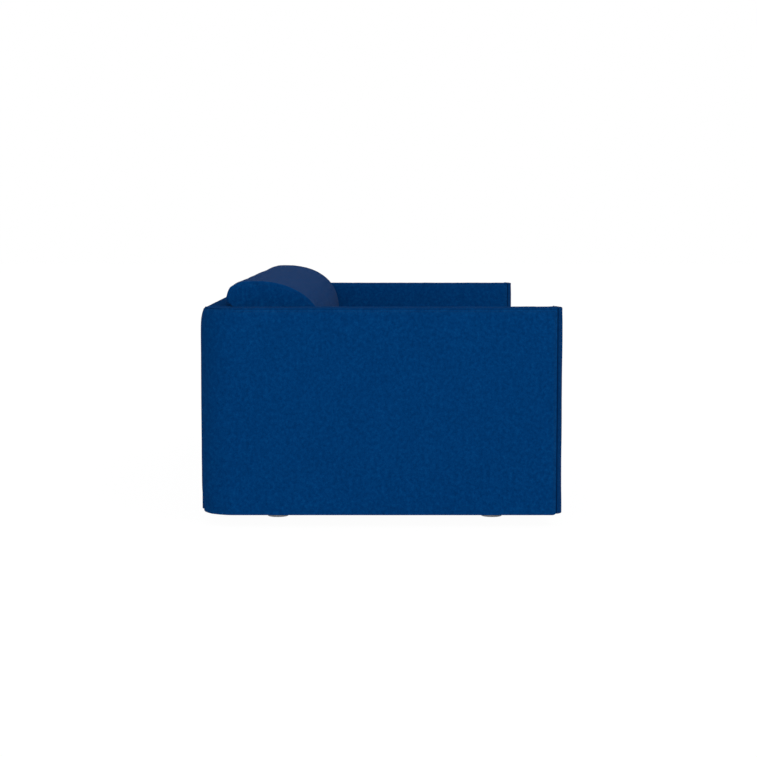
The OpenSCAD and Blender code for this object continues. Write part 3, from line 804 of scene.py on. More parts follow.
def arm_piece(side, sign):
    name = "arm_" + side
    lo, hi = ARM_LO.copy(), ARM_HI.copy()
    lo[1] = SEAM_Y
    near_seam = {1: (lo[1] + 0.0095,)}
    box = Box(*(stops(lo[i], hi[i], 0.014, ARM_EDGE, near_seam.get(i, ())) for i in range(3)))
    p = crisp_hem(box, box.rounded(ARM_EDGE))
    # the rear outer corner
    c = hi[:2] - ARM_CORNER_R
    mapped = c + ARM_CORNER_R * in_disc(np.clip((p[:, :2] - c) / ARM_CORNER_R, 0, 1))
    corner = (p[:, 0] > c[0]) & (p[:, 1] > c[1])
    p[:, :2] = np.where(corner[:, None], mapped, p[:, :2])
    # the crowned front, fuller above the middle, with a rim that stands up at the top and a raised hem
    across = (p[:, 0] - (lo[0] + hi[0]) / 2) / ((hi[0] - lo[0]) / 2)
    low_swell = 0.0016 * smooth((0.14 - p[:, 2]) / 0.1)
    crown = ARM_CROWN + low_swell - 0.0005 * np.exp(-((p[:, 2] - 0.36) / 0.08) ** 2)
    front = smooth((lo[1] + 0.008 - box.P[:, 1]) / 0.008)
    p[:, 1] -= crown * np.clip(1 - across ** 2, 0, 1) * box.on["y0"]
    p[:, 2] += front * 0.0045 * smooth((p[:, 2] - hi[2] + HEM_BAND) / HEM_BAND)
    hem = smooth((lo[1] + 0.011 - box.P[:, 1]) / 0.007) * smooth((lo[2] + HEM_BAND - p[:, 2]) / HEM_BAND)
    p[:, 2] += 0.0046 * np.abs(across) ** 2.8 * hem
    # the rear draws in under the top seam and towards the hem
    rear = smooth((p[:, 1] - hi[1] + 0.12) / 0.08)
    low_draw = 0.0055 * smooth((lo[2] + 0.09 - p[:, 2]) / 0.09) ** 1.5
    p[:, 1] -= rear * (top_draw(p[:, 2], hi[2]) + low_draw)
    if sign < 0:
        p[:, 0] = -p[:, 0]
        box.faces = [f[::-1] for f in box.faces]
    front_seams = [("x0", "y0"), ("x1", "y0")]
    seams = front_seams + [("x0", "z1"), ("x1", "z1"), ("y0", "z1"), ("y1", "z1"), ("x0", "y1")]
    obj = new_object(name + "_upholstery", p, box.faces, CLOTH)
    store(obj, "seam", box.seam_distance(seams))
    store(obj, "front_seam", box.seam_distance(front_seams))
    subdivide(obj)
    inner = np.abs(coords(obj)[:, 0]) < lo[0] + 0.0015
    sew(obj, depth=0.0018, width=0.0022, puff=0.0022, seed=4.0 + sign, noise_amp=0.0009, hold=inner,
        level=lo[2] + HEM_BAND)
    # painted shade: the front seam is drawn as a dark line with darker cloth beside it, and the band in front of
    # it, which gets less light, is painted darker still and shows no wear
    from_seam = stored(obj, "front_seam")
    dark = 1.7 * np.exp(-((from_seam / 0.0030) ** 2)) + 0.30 * np.exp(-from_seam / 0.015)
    ahead = coords(obj)[:, 1] < lo[1] + 0.001
    store(obj, "seam_shade", np.maximum(stored(obj, "seam_shade"), dark + np.where(ahead, 0.12, 0.0)))
    store(obj, "rub", np.where(ahead, 0.0, stored(obj, "rub")))
    finish_piece(obj, "surround", [name + "_cover", name + "_foam"])
    rows = []
    y, z = lo[1] + FRONT_STITCH, hi[2] - TOP_STITCH
    for x in (sign * lo[0], sign * hi[0]):
        rows.append(line((x, y, lo[2] + 0.01), (x, y, hi[2] - 0.006)))
    for x, end in ((sign * lo[0], 0.004), (sign * hi[0], ARM_CORNER_R)):
        rows.append(line((x, lo[1] + 0.012, z), (x, hi[1] - end, z)))
    stitches(name + "_stitching", "surround", rows, surface_of(obj))


for side_name, side_sign in SIDES:
    arm_piece(side_name, side_sign)

# ---------------------------------------------------------------- back

BACK_SEAM_X = BACK_HI[0] - 0.115


def back_piece():
    lo, hi = BACK_LO, BACK_HI
    box = Box(stops(lo[0], hi[0], 0.018, ARM_EDGE, (-BACK_SEAM_X, BACK_SEAM_X)),
              stops(lo[1], hi[1], 0.015, ARM_EDGE), stops(lo[2], hi[2], 0.018, ARM_EDGE))
    p = crisp_hem(box, box.rounded(ARM_EDGE))
    p[:, 1] -= smooth((p[:, 1] - lo[1]) / (hi[1] - lo[1])) * top_draw(p[:, 2], hi[2])
    seams = [("y0", "z1"), ("y1", "z1"), ("y1", "x", BACK_SEAM_X), ("y1", "x", -BACK_SEAM_X)]
    obj = new_object("back_upholstery", p, box.faces, CLOTH)
    store(obj, "seam", box.seam_distance(seams))
    subdivide(obj)
    co = coords(obj)
    still = (np.abs(co[:, 0]) > hi[0] - 0.001) | (co[:, 1] < lo[1] + 0.0015)
    sew(obj, puff=0.0025, seed=9.0, hold=still, level=lo[2] + HEM_BAND)
    finish_piece(obj, "surround", ["back_cover", "back_foam"])
    rows = []
    for s in (-1, 1):
        for off in (-0.007, 0.007):
            x = s * BACK_SEAM_X + off
            rows.append(line((x, hi[1], lo[2] + 0.01), (x, hi[1], hi[2] - 0.006)))
    z = hi[2] - TOP_STITCH
    rows.append(line((lo[0] + 0.004, hi[1], z), (hi[0] - 0.004, hi[1], z)))
    stitches("back_stitching", "surround", rows, surface_of(obj))


back_piece()

# ---------------------------------------------------------------- futon pads

PAD_EDGE = 0.014
PAD_STITCH = PAD_EDGE * 0.3 + 0.009     # from the pad's top and underside to its rows of stitches


def pad_piece(name, prefix, body, crown_up, crown_down):
    """A futon pad: starts a little thinner than its CAD solid and swells between its seams."""
    limit_lo, limit_hi = span(prefix + "_cover")
    lo = limit_lo + (0.003, 0.003, crown_down)
    hi = limit_hi - (0.003, 0.003, crown_up)
    box = Box(*(stops(lo[i], hi[i], 0.016, PAD_EDGE) for i in range(3)))
    sides = ("x0", "x1", "y0", "y1")
    seams = [(a, b) for a in sides for b in ("z0", "z1")] + [(a, b) for a in sides[:2] for b in sides[2:]]
    distance = box.seam_distance(seams)
    obj = new_object(name, box.rounded(PAD_EDGE), box.faces, CLOTH)
    store(obj, "seam", distance)
    inflate(obj, distance < 0.002, pressure=3.0, cap=max(crown_up, 0.006))
    subdivide(obj)
    sew(obj, depth=0.004, width=0.004, puff=0.0, seed=hi[2] * 40, noise_amp=0.0022, pucker=0.0011)
    set_coords(obj, np.clip(coords(obj), limit_lo - (0.003, 0.002, -0.0002), limit_hi + (0.003, 0.0, -0.0002)))
    finish_piece(obj, body, [prefix + "_cover", prefix + "_core"])
    rows = []
    for z in (lo[2] + PAD_STITCH, hi[2] - PAD_STITCH):
        rows.append(line((lo[0] + 0.012, lo[1] - 0.002, z), (hi[0] - 0.012, lo[1] - 0.002, z)))
        for x in (lo[0] - 0.002, hi[0] + 0.002):
            rows.append(line((x, lo[1] + 0.012, z), (x, hi[1] - 0.012, z)))
    stitches(name + "_stitching", body, rows, surface_of(obj), 0.0075, 0.005, 0.0005)


pad_piece("futon_lower", "lower_pad", "surround", 0.004, 0.004)
pad_piece("futon_upper", "upper_pad", "seat_upper", 0.014, 0.002)

# ---------------------------------------------------------------- back cushions

CREST_DROP = 0.0025
SIDE_INSET = 0.0015
CUSHION_STEP = 0.012
OUTLINE = 1.22         # rough length of the cushion's outline


def bow(c, a, b, t0, t1, power, n):
    """Points on a rounded-square curve about c, from angle t0 to t1 in degrees. Power 2 is an ellipse."""
    out = []
    for i in range(n + 1):
        t = math.radians(t0 + (t1 - t0) * i / n)
        x, y = math.cos(t), math.sin(t)
        out.append((c[0] + math.copysign(a * abs(x) ** (2 / power), x),
                    c[1] + math.copysign(b * abs(y) ** (2 / power), y)))
    return out


def cushion_section(lo, hi):
    """The cushion's outline in depth and height, a little inside its CAD solid. It starts at the bottom front
    corner and goes round to the rear, over the top and down the front."""
    rear = BACK_LO[1] - 0.001
    d = SIDE_INSET
    top = hi[2] - CREST_DROP
    crest = (BACK_LO[1] - 0.0615, hi[2] - 0.160)
    shoulder = (crest[0], ARM_HI[2] + 0.015)
    step = ARM_HI[2] + 0.003 + d
    pts = []
    for y, r, t0 in ((lo[1] + 0.03, 0.03, 180), (rear - 0.02, 0.02, 270)):
        pts += bow((y, lo[2] + r), r - d, r - d, t0, t0 + 90, 2.0, 5)
    pts += [(rear - d, step), (shoulder[0] + 0.083 - d - 0.004, step + 0.001)]
    pts += bow(shoulder, 0.083 - d, top - shoulder[1], 0, 90, 3.0, 16)
    pts += bow(crest, crest[0] - lo[1] - d, top - crest[1], 92, 180, 2.22, 24)
    return np.array(pts)


def resample(pts, n):
    """n points evenly spaced round a closed outline, from its first point."""
    ring = np.vstack([pts, pts[:1]])
    lengths = np.concatenate([[0], np.cumsum(np.linalg.norm(np.diff(ring, axis=0), axis=1))])
    at = np.linspace(0, lengths[-1], n, endpoint=False)
    return np.stack([np.interp(at, lengths, ring[:, i]) for i in range(2)], 1)


def rim_places(u, v, ring):
    """Where places on a square's rim, u and v from -1 to 1, come on an outline that starts at its corner."""
    s = np.where(np.isclose(v, -1), (u + 1) / 2,
                 np.where(np.isclose(u, 1), 1 + (v + 1) / 2,
                          np.where(np.isclose(v, 1), 2 + (1 - u) / 2, 3 + (1 - v) / 2)))
    n = len(ring)
    f = (s % 4) / 4 * n
    i0 = np.floor(f).astype(int) % n
    w = (f - np.floor(f))[:, None]
    return ring[i0] * (1 - w) + ring[(i0 + 1) % n] * w


def cushion_piece(side, sign):
    name, prefix = "back_cushion_" + side, "cushion_" + side
    lo, hi = span(prefix + "_cover")
    per_side = round(OUTLINE / CUSHION_STEP / 4)
    ring = resample(cushion_section(lo, hi), 4 * per_side)
    centre = np.array([(lo[1] + hi[1]) / 2 - 0.01, (lo[2] + hi[2]) / 2])
    # a square grid whose rim is the ring: the ends are concentric rings, and the walls follow the rim
    ends = sorted((sign * 0.0004, sign * (max(abs(lo[0]), abs(hi[0])) - 0.001)))
    us = np.linspace(-1, 1, per_side + 1)
    box = Box(stops(*ends, CUSHION_STEP, 0.012), us, us)
    x, u, v = box.P.T
    t = np.maximum(np.abs(u), np.abs(v))
    out = rim_places(u / np.maximum(t, 1e-9), v / np.maximum(t, 1e-9), ring) - centre
    size = np.linalg.norm(out, axis=1, keepdims=True)
    # the walls turn in to the ends: softly at the outer end, tightly where the two cushions meet
    to_end = np.minimum(x - box.lo[0], box.hi[0] - x)
    outer = (x - (lo[0] + hi[0]) / 2) * sign > 0
    r = np.where(outer, 0.012, 0.003)
    on_wall = np.isclose(t, 1.0)
    along = np.clip(1 - to_end / r, 0, 1)
    wall_in = r * (1 - np.sqrt(np.clip(1 - (along * 0.80) ** 2, 0, 1)))
    yz = centre + out * t[:, None] * (1 - np.where(on_wall, wall_in, 0)[:, None] / size)
    distance = np.where(on_wall, np.minimum(to_end, 1.0), (1 - t) * size[:, 0])
    obj = new_object(name, np.column_stack([x, yz]), box.faces, CLOTH_BRUSHED)
    store(obj, "seam", distance)
    front = smooth((0.60 - yz[:, 1]) / 0.12) * smooth((BACK_LO[1] - 0.15 - yz[:, 0]) / 0.05)
    inflate(obj, distance < 0.001, pressure=3.5, cap=(0.0020 + 0.006 * front)[:, None])
    subdivide(obj)
    sew(obj, depth=0.0010, width=0.0028, puff=0.0, seed=20 + sign, noise_amp=0.0018, pucker=0.0005, shade=0.25)
    co = coords(obj)
    inner, far = 0.0001, (hi[0] if sign > 0 else -lo[0]) + 0.001
    co[:, 0] = sign * np.clip(sign * co[:, 0], inner, far)
    # where the two cushions press on each other they are flat
    pressed = (np.abs(co[:, 0]) < 0.006) & (stored(obj) > 0.010)
    co[pressed, 0] = sign * inner
    co[:, 2] = np.maximum(co[:, 2], lo[2] + 0.0003)
    below = co[:, 2] < ARM_HI[2] + 0.004
    co[:, 1] = np.where(below, np.minimum(co[:, 1], BACK_LO[1] - 0.0003), co[:, 1])
    set_coords(obj, co)
    finish_piece(obj, name, [prefix + "_cover", prefix + "_core"])
    rows = []
    for end in (-1, 1):
        inside = 0.011 if end == sign else 0.010
        at = (hi[0] if end > 0 else lo[0]) - end * 0.0005
        loop = [(at, *(centre + (q - centre) * (1 - inside / np.linalg.norm(q - centre)))) for q in ring]
        rows.append(loop + loop[:1])
    stitches(name + "_stitching", name, rows, surface_of(obj))


for side_name, side_sign in SIDES:
    cushion_piece(side_name, side_sign)

# ---------------------------------------------------------------- nodes that keep their CAD shape

for material, names in (
    (PINE_Z, ("arm_left_frame", "arm_right_frame", "back_frame")),
    (ZINC, ("corner_brackets", "arm_bolts", "back_bolts", "roller_axles", "wheel_axles")),
    (FOAM, ("valance_foam",)),
):
    for n in names:
        paint(n, material)

for width, material, segments, names in (
    (0.0015, PINE_Y, 2, ("base_side_rail_left", "base_side_rail_right", "base_bearer_left",
                         "base_bearer_centre", "base_bearer_right")),
    (0.0008, PINE_X, 2, ("base_front_rail", "base_rear_rail", "pullout_ledger", "pullout_rear_rail")),
    (0.0015, BIRCH_X, 2, ("pullout_front_board",)),
    (0.003, BIRCH_Y, 3, ("fixed_slats", "pullout_slats")),
    (0.0005, ZINC, 1, ("guide_channel_left", "guide_channel_right", "wheel_brackets")),
):
    for n in names:
        bevelled(n, width, material, segments)

# ---------------------------------------------------------------- pull-out front: cover and tabs


def valance_piece():
    lo, hi = span("valance_cover")
    box = Box(stops(lo[0], hi[0], 0.016, 0.005), stops(lo[1], hi[1], 0.01, 0.004),
              stops(lo[2], hi[2], 0.012, 0.005))
    keep = [f for f in box.faces if not all(box.on["y1"][i] for i in f)]
    obj = new_object("pullout_valance", box.rounded(0.004), keep, CLOTH)
    store(obj, "seam", box.seam_distance([("x0", "y0"), ("x1", "y0"), ("y0", "z0"), ("y0", "z1")]))
    strip_loose(obj)
    subdivide(obj)
    sew(obj, depth=0.0014, width=0.0022, puff=0.0016, reach=0.03, seed=31.0, noise_amp=0.0008,
        hold=coords(obj)[:, 1] > lo[1] + 0.004)
    solid(obj, 0.0011)
    finish_piece(obj, "pullout", ["valance_cover"])
    (x0, _, z0), (x1, _, z1), y = lo + 0.01, hi - 0.01, lo[1]
    rows = [line((x0, y, z), (x1, y, z)) for z in (z0, z1)] + [line((x, y, z0), (x, y, z1)) for x in (x0, x1)]
    stitches("pullout_valance_stitching", "pullout", rows, surface_of(obj))


TAB_WIDTH = 0.04


def pull_tabs():
    lo, hi = span("pull_tabs")
    face, top, end = lo[1] - 0.0014, hi[2], lo[2] + 0.003
    nodes = ["pull_tabs"]
    for side, sign in SIDES:
        x = sign * (hi[0] - TAB_WIDTH / 2)
        # sewn on at the top, then out, round the loop and back up
        path = [(face, z) for z in np.linspace(top, top - 0.034, 6)]
        path += [(face - 0.0035 * smooth((top - 0.034 - z) / 0.03), z) for z in np.linspace(top - 0.040, end, 7)]
        path += [(face - 0.0035 + 0.0026 * (1 - math.cos(t)) / 2, end - 0.003 * math.sin(t))
                 for t in np.linspace(0.4, math.pi - 0.4, 6)]
        path += [(face - 0.0009 + 0.0006 * i / 5, z)
                 for i, z in enumerate(np.linspace(lo[2] + 0.004, top - 0.040, 6))]
        tab = strap("pull_tab_" + side, path, TAB_WIDTH, 0.0015, WEBBING, x)
        finish_piece(tab, "pullout", nodes)
        nodes = []
        f, a, b = face - 0.001, x - TAB_WIDTH / 2 + 0.004, x + TAB_WIDTH / 2 - 0.004
        z1, z0 = top - 0.003, top - 0.030
        q = [(a, f, z1), (b, f, z1), (b, f, z0), (a, f, z0)]
        rows = [line(q[i], q[j]) for i, j in ((0, 1), (1, 2), (2, 3), (3, 0), (0, 2), (3, 1))]
        stitches("pull_tab_%s_stitching" % side, "pullout", rows, surface_of(tab), 0.0032, 0.0024, 0.0004)


valance_piece()
pull_tabs()

# ---------------------------------------------------------------- fold welt


def welt_piece():
    lo, hi = span("fold_welt")
    _, y, z = (lo + hi) / 2
    n = 236
    pts = []
    for i in range(n + 1):
        x = lo[0] + (hi[0] - lo[0]) * i / n
        pts.append((x, y + 0.0004 * noise.noise(Vector((x * 9.0, 3.1, 0.4))),
                    z + 0.0005 * noise.noise(Vector((x * 11.0, 7.7, 1.9)))))
    obj = tube("fold_welt_cord", pts, (hi[2] - lo[2]) / 2, CLOTH, 12)
    for name, value in (("seam_shade", 0.0), ("rub", 0.25)):
        store(obj, name, np.full(len(obj.data.vertices), value))
    finish_piece(obj, "surround", ["fold_welt"])


welt_piece()

# ---------------------------------------------------------------- zips

ZIP_HALF = 0.0038      # half the width of the tape
TEETH_PITCH = 0.0026


def zip_piece(node, body, facing):
    """Woven tape, two rows of teeth that mesh, and a slider with its puller, facing 'y' (rear) or 'z' (down)."""
    lo, hi = span(node)
    c = (lo + hi) / 2
    rear = facing == "y"
    c[1 if rear else 2] = hi[1] - 0.0005 if rear else lo[2] + 0.0007

    def at(x, across, out):
        """A point at x, across the tape, and standing out from it."""
        return (x, c[1] + out, c[2] + across) if rear else (x, c[1] + across, c[2] - out)

    def size(length, across, out):
        return (length, out, across) if rear else (length, across, out)

    n = int((hi[0] - lo[0]) / 0.02)
    rows = [(-ZIP_HALF, -0.0005), (-ZIP_HALF, 0.0), (-0.0012, 0.0002),
            (0.0012, 0.0002), (ZIP_HALF, 0.0), (ZIP_HALF, -0.0005)]
    m = len(rows)
    verts = [at(lo[0] + (hi[0] - lo[0]) * i / n, a, h) for i in range(n + 1) for a, h in rows]
    faces = []
    for i in range(n):
        for j in range(m):
            k = (j + 1) % m
            faces.append((i * m + j, i * m + k, (i + 1) * m + k, (i + 1) * m + j))
    tape = new_object(node + "_tape", verts, faces, TAPE, False)
    fix_normals(tape)
    finish_piece(tape, body, [node])
    teeth = [at(lo[0] + 0.004 + i * TEETH_PITCH, 0.00055 if i % 2 else -0.00055, 0.0004)
             for i in range(int((hi[0] - lo[0] - 0.03) / TEETH_PITCH))]
    finish_piece(blocks(node + "_teeth", teeth, size(0.0012, 0.0021, 0.0006), ZIP_TEETH), body, [])
    for part, back, out, shape in (("_slider", 0.014, 0.0005, (0.009, 0.006, 0.0014)),
                                   ("_puller", 0.024, 0.0011, (0.016, 0.0036, 0.0006))):
        o = blocks(node + part, [at(hi[0] - back, 0.0, out)], size(*shape), ZINC)
        ease(o, 0.0005)
        finish_piece(o, body, [])


zip_piece("lower_pad_zip", "surround", "y")
zip_piece("upper_pad_zip", "seat_upper", "y")
zip_piece("cushion_left_zip", "back_cushion_left", "z")
zip_piece("cushion_right_zip", "back_cushion_right", "z")

# ---------------------------------------------------------------- feet, wheels, rollers

FEET = ("foot_front_left", "foot_front_right", "foot_rear_left", "foot_rear_right")


def feet():
    top = ARM_LO[2]
    glide_nodes = ["foot_glides"]
    for node in FEET:
        lo, hi = span(node)
        c = ((lo[0] + hi[0]) / 2, (lo[1] + hi[1]) / 2, 0.0)
        r, low = (hi[0] - lo[0]) / 2, lo[2] - 0.0010
        profile = [(0, low), (r - 0.006, low), (r - 0.0010, low + 0.0001), (r - 0.0003, low + 0.0004),
                   (r, low + 0.0011), (r, top - 0.0042), (r - 0.0008, top - 0.0034), (r - 0.0008, top - 0.0026),
                   (r - 0.0003, top - 0.0018), (r - 0.0008, top - 0.0005), (r - 0.002, top), (0, top)]
        finish_piece(lathe(node + "_turned", profile, c, CHROME, segments=96), "surround", [node])
        glide = [(0, 0.0), (r - 0.0075, 0.0), (r - 0.0065, 0.0006), (r - 0.0065, low), (0, low)]
        finish_piece(lathe(node.replace("foot", "glide"), glide, c, FELT, segments=64), "surround",
                     glide_nodes)
        glide_nodes = []


def centre_foot_pieces():
    lo, hi = span("centre_feet")
    r, top = (hi[0] - lo[0]) / 2, ARM_LO[2]
    profile = [(0, 0), (r - 0.008, 0), (r - 0.0055, 0.0008), (r - 0.004, 0.003), (r - 0.001, top - 0.008),
               (r, top - 0.006), (r, top - 0.001), (r - 0.001, top), (0, top)]
    for name, y, nodes in (("front", lo[1] + r, ["centre_feet"]), ("rear", hi[1] - r, [])):
        foot = lathe("centre_foot_" + name, profile, (0, y, 0), PLASTIC, segments=64)
        finish_piece(foot, "surround", nodes)


def both_ways(half):
    """A closed profile from its first half, mirrored about height 0."""
    return half + [(r, -h) for r, h in half[::-1]] + half[:1]


def boss_ring(name, c, x_from, x_to):
    """Five small bosses round each side of a hub."""
    verts, faces = [], []
    turn = 2 * math.pi
    for i in range(5):
        y, z = c[1] + 0.0105 * math.cos(turn * i / 5), c[2] + 0.0105 * math.sin(turn * i / 5)
        for end in (-1, 1):
            b = len(verts)
            for j in range(8):
                a = turn * j / 8
                verts += [(c[0] + end * x, y + 0.0011 * math.cos(a), z + 0.0011 * math.sin(a))
                          for x in (x_from, x_to)]
            for j in range(8):
                k = (j + 1) % 8
                faces.append((b + 2 * j, b + 2 * k, b + 2 * k + 1, b + 2 * j + 1))
            faces.append(tuple(b + 2 * j + 1 for j in range(8)))
    obj = new_object(name, verts, faces, HUB)
    fix_normals(obj)
    return obj


def wheel_pieces():
    for side, _ in SIDES:
        name, body = "wheel_" + side, "wheel_" + side[0]
        lo, hi = span(name)
        c = (lo + hi) / 2
        r, w = (hi[2] - lo[2]) / 2, (hi[0] - lo[0]) / 2 - 0.001
        rim = r - 0.0078
        tyre = both_ways([(rim, -w + 0.002), (r - 0.004, -w + 0.0004), (r - 0.0018, -w + 0.0004),
                          (r - 0.0005, -w + 0.0014), (r, -w + 0.003), (r, -0.0016), (r - 0.0008, -0.001)])
        hub = both_ways([(0.0041, -w - 0.001), (0.0085, -w - 0.001), (0.009, -w - 0.0005), (0.009, -w + 0.004),
                         (rim - 0.002, -w + 0.005), (rim - 0.002, -w + 0.002), (rim, -w + 0.002)])
        finish_piece(lathe(name + "_tyre", tyre, c, RUBBER, "x", 96), body, [name])
        finish_piece(lathe(name + "_hub", hub, c, HUB, "x", 96), body, [])
        finish_piece(boss_ring(name + "_bosses", c, w - 0.005, w - 0.0025), body, [])


feet()
centre_foot_pieces()
wheel_pieces()
for n in ("roller_left", "roller_right"):
    bevelled(n, 0.0006, ZINC)

# ---------------------------------------------------------------- dust cloth under the sofa

CLOTH_MARGIN = 0.012   # from the edge of the covers to the stapled edge, at the sides and rear
CLOTH_STEP = 0.008


def even_lines(*keys):
    """Grid lines through every key, about a step apart."""
    out = []
    for a, b in zip(keys, keys[1:]):
        n = max(1, round((b - a) / CLOTH_STEP))
        out += [a + (b - a) * i / n for i in range(n)]
    return out + [keys[-1]]


def foot_openings():
    """Centre and radius of the opening for each foot."""
    cuts = []
    for node in FEET:
        lo, hi = span(node)
        cuts.append(((lo[0] + hi[0]) / 2, (lo[1] + hi[1]) / 2, (hi[0] - lo[0]) / 2 + 0.0015))
    lo, hi = span("centre_feet")
    return cuts + [(0.0, y, (hi[0] - lo[0]) / 2 + 0.002) for y in (cuts[0][1], cuts[2][1])]


def dust_cloth():
    lo, hi = span("underside_cloth")
    lo, hi = lo + (CLOTH_MARGIN, 0.022, 0), hi - (CLOTH_MARGIN, CLOTH_MARGIN, 0)
    rail_y = span("base_front_rail")[0][1]
    inner = ARM_LO[0] + 0.008
    r = ARM_CORNER_R - 0.020
    xs = even_lines(lo[0], -inner, 0.0, inner, hi[0])
    ys = even_lines(lo[1], rail_y, hi[1] - r, hi[1])
    grid = np.array([[x, y] for x in xs for y in ys])
    # the rounded rear corners
    c = hi[:2] - r
    d = np.clip((np.column_stack([np.abs(grid[:, 0]), grid[:, 1]]) - c) / r, 0, 1)
    both = (d[:, 0] > 0) & (d[:, 1] > 0)
    mapped = c + r * in_disc(d)
    mapped[:, 0] *= np.sign(grid[:, 0])
    grid = np.where(both[:, None], mapped, grid)
    # the openings: each cut edge is brought onto a circle
    cuts = foot_openings()
    inside = np.zeros(len(grid), bool)
    for cx, cy, hole in cuts:
        q = grid - (cx, cy)
        size = np.hypot(q[:, 0], q[:, 1])
        inside |= size < hole - CLOTH_STEP / 2
        rim = (size >= hole - CLOTH_STEP / 2) & (size < hole + CLOTH_STEP / 2)
        grid[rim] = np.array((cx, cy)) + q[rim] / size[rim, None] * hole
    m = len(ys)
    faces = []
    for i in range(len(xs) - 1):
        for j in range(m - 1):
            mid_x, mid_y = (xs[i] + xs[i + 1]) / 2, (ys[j] + ys[j + 1]) / 2
            ring = (i * m + j, (i + 1) * m + j, (i + 1) * m + j + 1, i * m + j + 1)
            in_notch = abs(mid_x) < inner and mid_y < rail_y
            if not in_notch and not inside[list(ring)].any():
                faces.append(ring)
    # it sags a little between its supports
    supports = [0.0] + [s * v for s in (-1, 1) for v in (cuts[1][0], ARM_LO[0])]
    verts = []
    for x, y in grid:
        near = min([abs(x - v) for v in supports] + [abs(y - rail_y), abs(hi[1] - y) if abs(x) < inner else 1.0])
        sag = 0.0026 * (1 - math.exp(-(near / 0.09) ** 1.5))
        wave = 0.0004 * (1 + noise.noise(Vector((x * 18, y * 18, 5.0))))
        verts.append((x, y, ARM_LO[2] - 0.0002 - sag - wave))
    obj = new_object("underside_dust_cloth", verts, faces, LINING)
    strip_loose(obj)
    fix_normals(obj)
    finish_piece(obj, "surround", ["underside_cloth"])
    staples = []
    for i in range(36):
        x = lo[0] + 0.03 + (hi[0] - lo[0] - 0.06) * i / 35
        if abs(x) < inner:
            staples.append((x, rail_y + 0.006, lo[2] + 0.0006))
        if abs(x) < hi[0] - r:
            staples.append((x, hi[1] - 0.006, lo[2] + 0.0006))
    finish_piece(blocks("underside_staples", staples, (0.011, 0.0009, 0.0008), ZINC), "surround", [])


dust_cloth()

# ---------------------------------------------------------------- floor, light, camera

FLOOR_HALF = 30.0
FLOOR_SHADE = 0.05     # how much of a shadow the camera sees on the floor
FLOOR_GLOW = 1.02      # the floor's brightness to the camera, shadows aside
BASE_LIGHT = 0.36
WALL_LIGHT = 2.15
TOP_LIGHT = 0.50
CAM_PLACE = (-6.189, 0.0070, 0.8868)
CAM_PITCH = math.radians(5.046)
CAM_LENS = 85.0
WHITE = (1.0, 1.0, 1.0, 1.0)


def floor_material():
    """Pale paint. The camera sees it nearly white, so that only a faint shadow shows; polished metal sees a
    painted reflection.
    """
    m, k, p = start("floor_paint")
    patch = k.noise(p, 0.8, 3.0, 0.5)
    grain = k.noise(p, 60.0, 2.0, 0.5)
    c = k.mix(k.ramp(patch, 0.3, 0.7), (0.84, 0.84, 0.84), (0.88, 0.88, 0.88))
    lit = k.shader(c, 0.9, k.bump(grain, 0.0002, 0.2), Specular_IOR_Level=0.0)
    faint = k.add("ShaderNodeBsdfDiffuse")
    faint.inputs["Color"].default_value = (FLOOR_SHADE, FLOOR_SHADE, FLOOR_SHADE, 1.0)
    seen = k.add("ShaderNodeAddShader")
    k.link(faint.outputs[0], seen.inputs[0])
    k.link(k.emission(FLOOR_GLOW - FLOOR_SHADE), seen.inputs[1])
    path = k.add("ShaderNodeLightPath").outputs
    # painted reflection: glossy rays see a little of the camera's glow, so polished metal looks brighter
    mirrored = k.math("MULTIPLY", path["Is Glossy Ray"], 0.15)
    both = k.mix_shader(k.math("MAXIMUM", path["Is Camera Ray"], mirrored), lit, seen.outputs[0])
    # painted reflection: to glossy rays the floor beyond the sofa's front and rear is black, so polished metal
    # shows dark bands
    beyond = k.ramp(k.math("ABSOLUTE", k.split(p)[1]), 0.34, 0.40, 0.0, 0.94)
    studio = k.mix_shader(k.math("MULTIPLY", path["Is Glossy Ray"], beyond), both, k.emission(0.0))
    k.link(studio, k.out.inputs["Surface"])
    return m


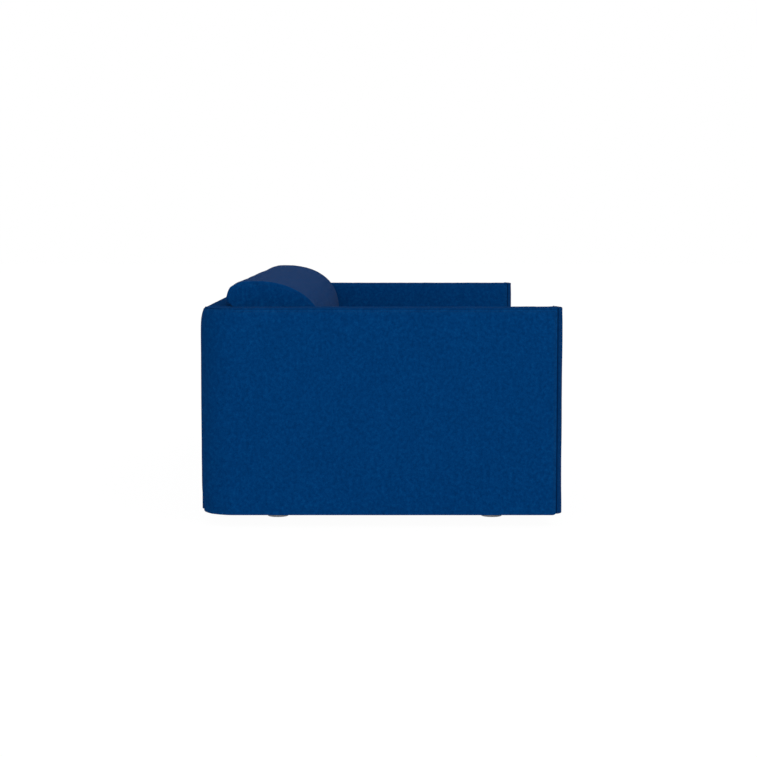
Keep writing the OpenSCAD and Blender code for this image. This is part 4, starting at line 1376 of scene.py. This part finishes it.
def floor():
    corners = [(x * FLOOR_HALF, y * FLOOR_HALF, 0) for x, y in ((-1, -1), (1, -1), (1, 1), (-1, 1))]
    new_object("floor", corners, [(0, 1, 2, 3)], floor_material(), False)


def sky():
    """A soft dome: a wide bright wall on the left and some light from above. The camera sees plain white."""
    world = bpy.data.worlds.new("studio")
    SCENE.world = world
    k = Nodes(world, "ShaderNodeOutputWorld")
    direction = k.split(k.texture_coords("Generated"))
    left = k.math("MAXIMUM", k.math("MULTIPLY", direction[0], -1.0), 0.0)
    above = k.math("MAXIMUM", direction[2], 0.0)
    wall = k.math("MULTIPLY", k.math("MULTIPLY", left, left), WALL_LIGHT)
    ambient, backdrop = k.add("ShaderNodeBackground"), k.add("ShaderNodeBackground")
    k.feed(ambient.inputs["Strength"], k.math("ADD", k.plus(wall, above, TOP_LIGHT), BASE_LIGHT))
    backdrop.inputs["Color"].default_value = WHITE
    camera_ray = k.add("ShaderNodeLightPath").outputs["Is Camera Ray"]
    k.link(k.mix_shader(camera_ray, ambient.outputs[0], backdrop.outputs[0]), k.out.inputs["Surface"])


def area_light(name, place, target, size, power):
    data = bpy.data.lights.new(name, "AREA")
    data.shape = "RECTANGLE"
    data.size, data.size_y = size
    data.energy = power
    obj = bpy.data.objects.new(name, data)
    SCENE.collection.objects.link(obj)
    obj.location = place
    obj.rotation_euler = (Vector(target) - Vector(place)).to_track_quat("-Z", "Y").to_euler()


def camera():
    data = bpy.data.cameras.new("camera")
    data.lens = CAM_LENS
    data.sensor_width = 36.0
    obj = bpy.data.objects.new("camera", data)
    SCENE.collection.objects.link(obj)
    obj.location = CAM_PLACE
    look = Vector((math.cos(CAM_PITCH), 0.0, -math.sin(CAM_PITCH)))
    obj.rotation_mode = "QUATERNION"
    obj.rotation_quaternion = look.to_track_quat("-Z", "Y")
    SCENE.camera = obj


floor()
sky()
area_light("key", (-6.0, -4.0, 4.5), (0, 0, 0.3), (4.0, 3.0), 120)
camera()
SCENE.view_settings.view_transform = "Standard"
